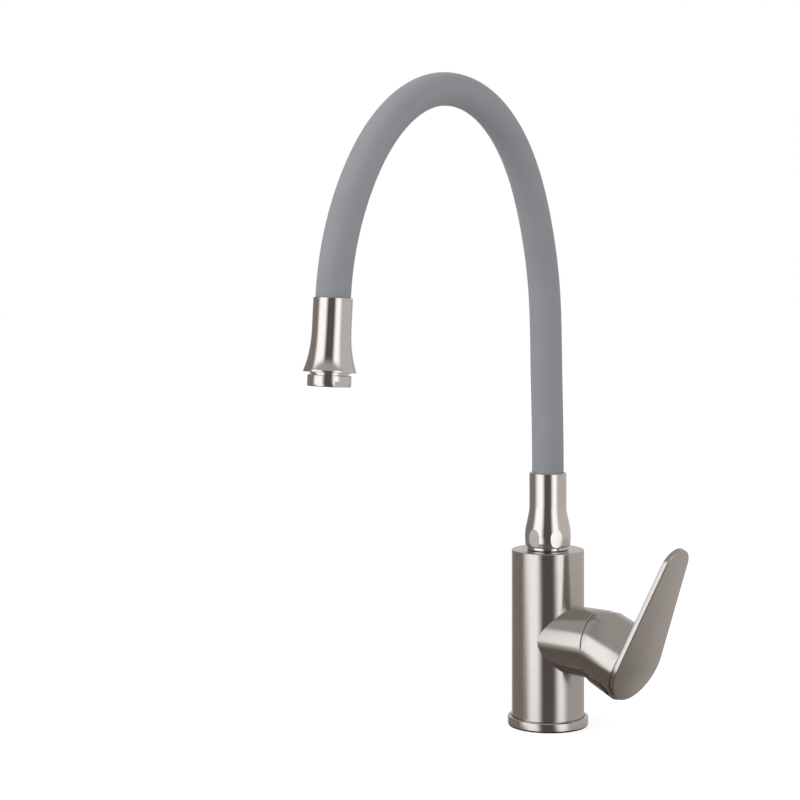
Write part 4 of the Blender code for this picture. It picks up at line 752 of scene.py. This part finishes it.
class FAUCET_OT_hose(bpy.types.Operator):
    """Silicone sleeve and wound neck, one length for each joint of the hose"""
    bl_idname = "faucet.hose"
    bl_label = "Bendable hose"

    def execute(self, context):
        s = sizes()
        route = hose_route()
        pivots = [self.nearest(route, JOINTS[name]["pos_m"]) for name in HOSE_JOINTS]
        ends = [route[0][0], *[(a + b) / 2 for a, b in zip(pivots, pivots[1:])], route[-1][0]]
        for i, name in enumerate(HOSE_JOINTS):
            for kind, outer, inner, sides, look, slot, node in (
                    ("sleeve", s.hose_radius, s.sleeve_bore, 48, "extruded_silicone",
                     "silicone", "sleeve_"),
                    ("neck", s.neck_radius, s.water_bore, 24, "wound_steel_neck",
                     "gooseneck", "neck_")):
                low, high = ends[i], ends[i + 1]
                piece = self.tube(f"hose_{kind}_{i + 1}", route, low, high, outer, inner, sides)
                nodes = [f"{node}{i + 1}"] + ([f"{node}0"] if i == 0 else [])
                finish_piece(piece, None, [look], nodes)
                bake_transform(piece)
        return {"FINISHED"}

    def nearest(self, route, point):
        point = Vector(point)
        return min(route, key=lambda pair: (pair[1] - point).length)[0]

    def tube(self, name, route, low, high, outer, inner, sides):
        """A curve with a round section, made a mesh and given its wall inwards."""
        step = 0.0022
        first, last = math.floor(low / step) - 1, math.ceil(high / step) + 1
        points = [self.station(route, i * step) for i in range(first, last + 1)]
        count = len(points) - 1
        curve = bpy.data.curves.new(name, "CURVE")
        curve.dimensions = "3D"
        curve.bevel_depth = outer
        curve.bevel_resolution = (sides - 4) // 2
        spline = curve.splines.new("POLY")
        spline.points.add(count)
        for target, point in zip(spline.points, points):
            target.co = (*point, 1.0)
        piece = bpy.data.objects.new(name, curve)
        bpy.context.scene.collection.objects.link(piece)
        pick(piece)
        bpy.ops.object.convert(target="MESH")
        piece = named(name)
        edit_whole()
        close_up()
        border = 0.0002
        for at, edge in ((low, -1), (low + border, 0), (high - border, 0), (high, 1)):
            self.cut(piece, route, at, edge)
        middle = len(piece.data.polygons) // 2
        face = piece.data.polygons[middle]
        centre = min(points, key=lambda p: (p - face.center).length)
        if face.normal.dot(face.center - centre) < 0:
            piece.data.flip_normals()
        wall = piece.modifiers.new("Wall", "SOLIDIFY")
        wall.thickness = outer - inner
        wall.offset = -1.0
        wall.use_rim = True
        apply_modifiers(piece)
        return piece

    def station(self, route, at):
        """A point at a length, in a straight line beyond the route's ends."""
        (l0, p0), (l1, p1) = route[:2] if at < route[0][0] else route[-2:]
        if route[0][0] <= at <= route[-1][0]:
            return route_point(route, at)
        return p0 + (p1 - p0) * ((at - l0) / (l1 - l0))

    def cut(self, piece, route, at, edge):
        """A flat cut across the hose, that clears what lies beyond an end."""
        run = (self.station(route, at + 0.0005) - self.station(route, at - 0.0005)).normalized()
        pick(piece)
        edit_whole()
        bpy.ops.mesh.bisect(plane_co=self.station(route, at), plane_no=run,
                            clear_inner=edge < 0, clear_outer=edge > 0)
        bpy.ops.object.mode_set(mode="OBJECT")


class FAUCET_OT_head(bpy.types.Operator):
    """Flared spray head, aerator ring and its insert"""
    bl_idname = "faucet.head"
    bl_label = "Spray head"

    def execute(self, context):
        s = sizes()
        route = hose_route()
        lean = hose_heading(1.0) + 90
        place = (Matrix.Translation(route[-2][1])
                 @ Matrix.Rotation(math.radians(-lean), 4, "X"))
        self.shell(s, place)
        self.ring(s, place)
        self.insert(place)
        return {"FINISHED"}

    def shell(self, s, place):
        collar_length, lip_thickness, edge, lip = 0.0160, 0.0007, 0.0004, 0.0002
        neck, neck_low, stem, stem_low = 0.0111, 0.0428, 0.0099, 0.0445
        flare_power, flare_steps = 2.4, 30
        points = [(0.0, 0.0), *arc(edge, 0, 90, 3, (s.head_collar - edge, -edge))]
        flare_end = s.head_depth - lip_thickness
        for i in range(flare_steps + 1):
            share = i / flare_steps
            flare = (s.head_lip - s.head_collar) * share ** flare_power
            points.append((s.head_collar + flare,
                           -(collar_length + (flare_end - collar_length) * share)))
        points += [(s.head_lip, -s.head_depth + lip), (s.head_lip - lip, -s.head_depth),
                   (neck, -s.head_depth), (neck, -neck_low), (stem, -neck_low),
                   (stem, -stem_low), (0.0, -stem_low)]
        shell = lathe("spray_shell", points, 128, place)
        tuck, shoulder, bore = s.hose_radius + s.fit_gap, 0.0206, 0.0072
        under = -stem_low - OVERRUN
        hollow = lathe("hollow_tool", [(0.0, OVERRUN), (tuck, OVERRUN), (tuck, -shoulder),
                                       (bore, -shoulder), (bore, under), (0.0, under)],
                       96, place)
        carve(shell, hollow)
        finish_piece(shell, "spray_end", ["satin_nickel_head"],
                     ["head_shell"], math.radians(24))

    def ring(self, s, place):
        top, tall, lip, seat = 0.0431, 0.0065, 0.0088, 0.0015
        low = -(top + tall)
        bore, edge = 0.0102, 0.0005
        outer = s.aerator_radius
        profile = [(outer - edge, -top), *arc(edge, 0, 90, 3, (outer - edge, -top - edge)),
                   *arc(edge, 90, 180, 3, (outer - edge, low + edge)), (lip, low),
                   (lip, low + seat), (bore, low + seat), (bore, -top)]
        ring = lathe("aerator_ring", closed(profile), 128, place)
        # Two wrench flats, whose turn is read from the photograph
        far, half_across, flat_height, first = outer + OVERRUN, 0.0113, 0.0032, -8.0
        for side in (0, 180):
            turn = place @ Matrix.Rotation(math.radians(first + side), 4, "Z")
            carve(ring, box("flat_tool", (half_across, -far, low - OVERRUN),
                            (far, far, low + flat_height), turn))
        finish_piece(ring, "spray_end", ["satin_nickel_head"],
                     ["aerator_housing"], math.radians(24))

    def insert(self, place):
        """A honeycomb of round holes, cut in one go by joined drills."""
        top, low = node_span("aerator_insert", place)
        outer, pitch, drill, field, out = 0.0099, 0.0021, 0.0008, 0.0086, 0.001
        disc = cylinder("aerator_honeycomb", outer, low, top, 64, place)
        drills = []
        for row in range(-4, 5):
            for column in range(-4, 5):
                x = (column + row / 2) * pitch
                y = row * pitch * math.sqrt(3) / 2
                if math.hypot(x, y) < field:
                    spot = place @ Matrix.Translation((x, y, 0))
                    drills.append(cylinder("drill", drill, low - out, top + out, 10, spot))
        deselect_all()
        for tool in drills:
            tool.select_set(True)
        bpy.context.view_layer.objects.active = drills[0]
        bpy.ops.object.join()
        carve(disc, drills[0])
        finish_piece(disc, "spray_end", ["moulded_acetal"], ["aerator_insert"])


class FAUCET_OT_clamp(bpy.types.Operator):
    """Threaded shank, washers and lock nut under the deck"""
    bl_idname = "faucet.clamp"
    bl_label = "Clamp under the deck"

    def execute(self, context):
        s = sizes()
        low, high = heights("threaded_shank")
        depth, bore, first, edge = 0.0008, 0.0120, -0.0005, 0.0004
        crest, root = s.shank_radius, s.shank_radius - depth
        points = [(crest, high)]
        turns = int(round((0.0 - low) / s.thread_pitch)) - 1
        for i in range(turns):
            top = first - i * s.thread_pitch
            points += [(crest, top), (root, top - 0.45 * s.thread_pitch),
                       (root, top - 0.55 * s.thread_pitch)]
        points += [(crest, first - turns * s.thread_pitch), (crest, low + edge),
                   (crest - edge, low), (bore, low), (bore, high)]
        shank = lathe("deck_shank", closed(points), 72)
        finish_piece(shank, "tap", ["turned_brass"], ["threaded_shank"], math.radians(20))
        hole = s.shank_radius + s.fit_gap
        self.washer("clamp_rubber", "rubber_washer", hole, "rubber", "moulded_epdm", 0.0003)
        self.washer("clamp_washer", "metal_washer", hole, "steel", "brushed_stainless_body",
                    0.0002)
        self.nut(hole)
        return {"FINISHED"}

    def washer(self, name, node, hole, slot, look, edge):
        s = sizes()
        low, high = heights(node)
        r = s.clamp_radius
        profile = [(r - edge, high), (r, high - edge), (r, low + edge), (r - edge, low),
                   (hole, low), (hole, high)]
        ring = lathe(name, closed(profile), 96)
        finish_piece(ring, "tap", [look], [node])

    def nut(self, hole):
        low, high = heights("lock_nut")
        flats, edge = 0.0400, 0.001
        corner = flats / 2 / math.cos(math.pi / 6)
        nut = cylinder("clamp_nut", corner, low, high, 6)
        cone = lathe("cone_tool", [(0.0, high), (flats / 2, high), (corner, high - edge),
                                   (corner, low + edge), (flats / 2, low), (0.0, low)], 96)
        carve(nut, cone, "INTERSECT")
        carve(nut, cylinder("hole_tool", hole, low - OVERRUN, high + OVERRUN, 72))
        finish_piece(nut, "tap", ["turned_brass"], ["lock_nut"], math.radians(20))


class FAUCET_OT_inside(bpy.types.Operator):
    """Finishes of the pieces that stay as they are in the CAD"""
    bl_idname = "faucet.inside"
    bl_label = "Pieces inside"

    def execute(self, context):
        looks = {"steel": "brushed_stainless_body", "nickel": "satin_nickel_bell",
                 "brass": "turned_brass", "rubber": "moulded_epdm",
                 "silicone": "extruded_silicone", "gooseneck": "wound_steel_neck",
                 "acetal": "moulded_acetal", "ceramic": "lapped_alumina",
                 "index": "moulded_red_abs"}
        slots = {sub["node"]: sub["material_slot"] for sub in frame["record"]["subparts"]}
        for node, piece in frame["nodes"].items():
            piece.data.materials.clear()
            piece.data.materials.append(finish(looks[slots[node]]))
        return {"FINISHED"}


class FAUCET_OT_stage(bpy.types.Operator):
    """Pale floor, soft studio light and the camera"""
    bl_idname = "faucet.stage"
    bl_label = "Stage, light and camera"

    def execute(self, context):
        self.floor()
        self.world()
        self.lamps()
        self.camera()
        context.scene.view_settings.view_transform = "Standard"
        return {"FINISHED"}

    def floor(self):
        """Pale and matt, nearly white to the camera, with the object's shadow. Gloss looks past
        it into the surround."""
        deselect_all()
        bpy.ops.mesh.primitive_circle_add(vertices=96, radius=6.0, fill_type="NGON",
                                          location=(0, 0, -0.0002))
        ground = named("studio_floor")
        ground.visible_glossy = False
        material, tree, shader = new_material("matt_pale_floor", Roughness=0.9,
                                              Base_Color=linear(colours().floor))
        ray = add_node(tree, "ShaderNodeLightPath")
        glow = add_node(tree, "ShaderNodeEmission", {"Color": (1, 1, 1, 1), "Strength": 1.55})
        # Half of what the camera sees is the lit floor, which keeps the shadow
        share = add_node(tree, "ShaderNodeMath", {1: 0.5}, {0: ray.outputs["Is Camera Ray"]},
                         operation="MULTIPLY")
        seen = shader_mix(tree, share.outputs[0], shader.outputs[0], glow.outputs[0])
        tree.links.new(seen, tree.nodes["Material Output"].inputs["Surface"])
        ground.data.materials.append(material)

    def world(self):
        """White to the camera, an even light to matt surfaces, and to gloss a studio with two
        white panels and a dark card, which bands round metal."""
        world = bpy.data.worlds.new("studio_surround")
        bpy.context.scene.world = world
        world.use_nodes = True
        tree = world.node_tree
        tree.nodes.clear()
        ray = add_node(tree, "ShaderNodeLightPath").outputs
        place = add_node(tree, "ShaderNodeTexCoord").outputs["Generated"]
        turned = add_node(tree, "ShaderNodeMapping",
                          {"Rotation": (0.0, 0.0, math.radians(90 - CAMERA_TURN))},
                          {"Vector": place})
        split = add_node(tree, "ShaderNodeSeparateXYZ", None,
                         {"Vector": turned.outputs["Vector"]}).outputs
        angle = add_node(tree, "ShaderNodeMath", None, {0: split["Y"], 1: split["X"]},
                         operation="ARCTAN2")
        turn = add_node(tree, "ShaderNodeMapRange",
                        {"From Min": -math.pi, "From Max": math.pi},
                        {"Value": angle.outputs[0]}).outputs["Result"]
        # Degrees to the right of the camera and the shade there: a dark card in front with a
        # white panel on each side, a dim corner behind the left one, and plain walls elsewhere.
        # The left panel is wider above
        wall, dim, panel, card = "#B2AEAC", "#78706C", "#FFFFFF", "#504A48"
        upper = [(-180, wall), (-162, wall), (-148, dim), (-92, dim), (-74, panel), (-40, panel),
                 (-23, card), (12, card), (28, panel), (44, panel), (60, wall), (180, wall)]
        lower = [(-180, wall), (-162, wall), (-148, dim), (-76, dim), (-58, panel), (-36, panel),
                 (-20, card), (17, card), (34, panel), (43, panel), (62, "#A09A98"),
                 (180, "#A09A98")]
        dark, pale = "#5D544F", "#A6A19E"
        ground = [(-180, dark), (50, dark), (62, pale), (165, pale), (180, dark)]
        layers = [(None, self.shade(tree, "#5F5855")),
                  ((-0.68, -0.46), self.ring(tree, turn, ground)),
                  ((-0.36, -0.27), self.ring(tree, turn, lower)),
                  ((-0.22, -0.06), self.ring(tree, turn, upper)),
                  ((0.46, 0.58), self.shade(tree, "#989592"))]
        colour = layers[0][1]
        for (low, high), layer in layers[1:]:
            share = add_node(tree, "ShaderNodeMapRange", {"From Min": low, "From Max": high},
                             {"Value": split["Z"]}, interpolation_type="SMOOTHSTEP")
            mix = add_node(tree, "ShaderNodeMix", None,
                           {"Factor": share.outputs["Result"], "A": colour, "B": layer},
                           data_type="RGBA")
            colour = mix.outputs["Result"]
        studio = add_node(tree, "ShaderNodeBackground", {"Strength": 1.5}, {"Color": colour})
        even, white = (add_node(tree, "ShaderNodeBackground",
                                {"Color": (1.0, 1.0, 1.0, 1.0), "Strength": strength})
                       for strength in (0.68, 1.0))
        lit = shader_mix(tree, ray["Is Glossy Ray"], even.outputs[0], studio.outputs[0])
        through = add_node(tree, "ShaderNodeMath", None,
                           {0: ray["Is Camera Ray"], 1: ray["Is Transmission Ray"]},
                           operation="MAXIMUM")
        seen = shader_mix(tree, through.outputs[0], lit, white.outputs[0])
        out = add_node(tree, "ShaderNodeOutputWorld")
        tree.links.new(seen, out.inputs["Surface"])

    def ring(self, tree, turn, stops):
        """Shades blended in order round the object."""
        bands = add_node(tree, "ShaderNodeValToRGB", None, {"Fac": turn})
        elements = bands.color_ramp.elements
        while len(elements) < len(stops):
            elements.new(0.5)
        for element, (degrees, shade) in zip(elements, stops):
            element.position = (degrees + 180) / 360
            element.color = linear(shade)
        return bands.outputs["Color"]

    def shade(self, tree, hexadecimal):
        node = add_node(tree, "ShaderNodeRGB")
        node.outputs["Color"].default_value = linear(hexadecimal)
        return node.outputs["Color"]

    def lamps(self):
        for name, place, aim, size, power in (
                ("key_panel", (-0.9, -1.5, 1.4), (0, -0.08, 0.2), 1.2, 26.0),
                ("fill_panel", (1.6, -0.3, 0.9), (0, -0.08, 0.2), 1.0, 9.0)):
            light = bpy.data.lights.new(name, "AREA")
            light.shape = "SQUARE"
            light.size = size
            light.energy = power
            lamp = bpy.data.objects.new(name, light)
            bpy.context.scene.collection.objects.link(lamp)
            lamp.location = place
            lamp.rotation_euler = (Vector(aim) - Vector(place)).to_track_quat("-Z", "Y").to_euler()
            lamp.visible_glossy = False
            lamp.visible_camera = False

    def camera(self):
        """Where the photograph was taken from, by its fitted perspective."""
        camera = bpy.data.cameras.new("photo_camera")
        camera.lens = 95.85
        camera.sensor_width = 36.0
        camera.shift_y = -0.22
        camera.clip_start = 0.01
        viewer = bpy.data.objects.new("photo_camera", camera)
        bpy.context.scene.collection.objects.link(viewer)
        viewer.location = (0.8122, -1.0689, 0.3144)
        viewer.rotation_euler = (math.pi / 2, 0.0, math.radians(CAMERA_TURN))
        bpy.context.scene.camera = viewer


class FAUCET_PT_panel(bpy.types.Panel):
    """The faucet's steps in the sidebar"""
    bl_idname = "FAUCET_PT_panel"
    bl_label = "Faucet"
    bl_space_type = "VIEW_3D"
    bl_region_type = "UI"
    bl_category = "Faucet"

    def draw(self, context):
        for step in STEPS:
            self.layout.operator(step.bl_idname)
        for group in (context.scene.faucet_sizes, context.scene.faucet_colours):
            for name in group.__annotations__:
                self.layout.prop(group, name)


STEPS = (FAUCET_OT_base, FAUCET_OT_body, FAUCET_OT_cover, FAUCET_OT_lever, FAUCET_OT_swivel,
         FAUCET_OT_hose, FAUCET_OT_head, FAUCET_OT_clamp, FAUCET_OT_inside, FAUCET_OT_stage)
CLASSES = (FaucetSizes, FaucetColours, *STEPS, FAUCET_PT_panel)


def register():
    for cls in CLASSES:
        bpy.utils.register_class(cls)
    bpy.types.Scene.faucet_sizes = bpy.props.PointerProperty(type=FaucetSizes)
    bpy.types.Scene.faucet_colours = bpy.props.PointerProperty(type=FaucetColours)


def unregister():
    del bpy.types.Scene.faucet_sizes
    del bpy.types.Scene.faucet_colours
    for cls in reversed(CLASSES):
        bpy.utils.unregister_class(cls)


def main():
    register()
    bpy.ops.faucet.base()
    bpy.ops.faucet.body()
    bpy.ops.faucet.cover()
    bpy.ops.faucet.lever()
    bpy.ops.faucet.swivel()
    bpy.ops.faucet.hose()
    bpy.ops.faucet.head()
    bpy.ops.faucet.clamp()
    bpy.ops.faucet.inside()
    bpy.ops.faucet.stage()


if __name__ == "__main__":
    main()
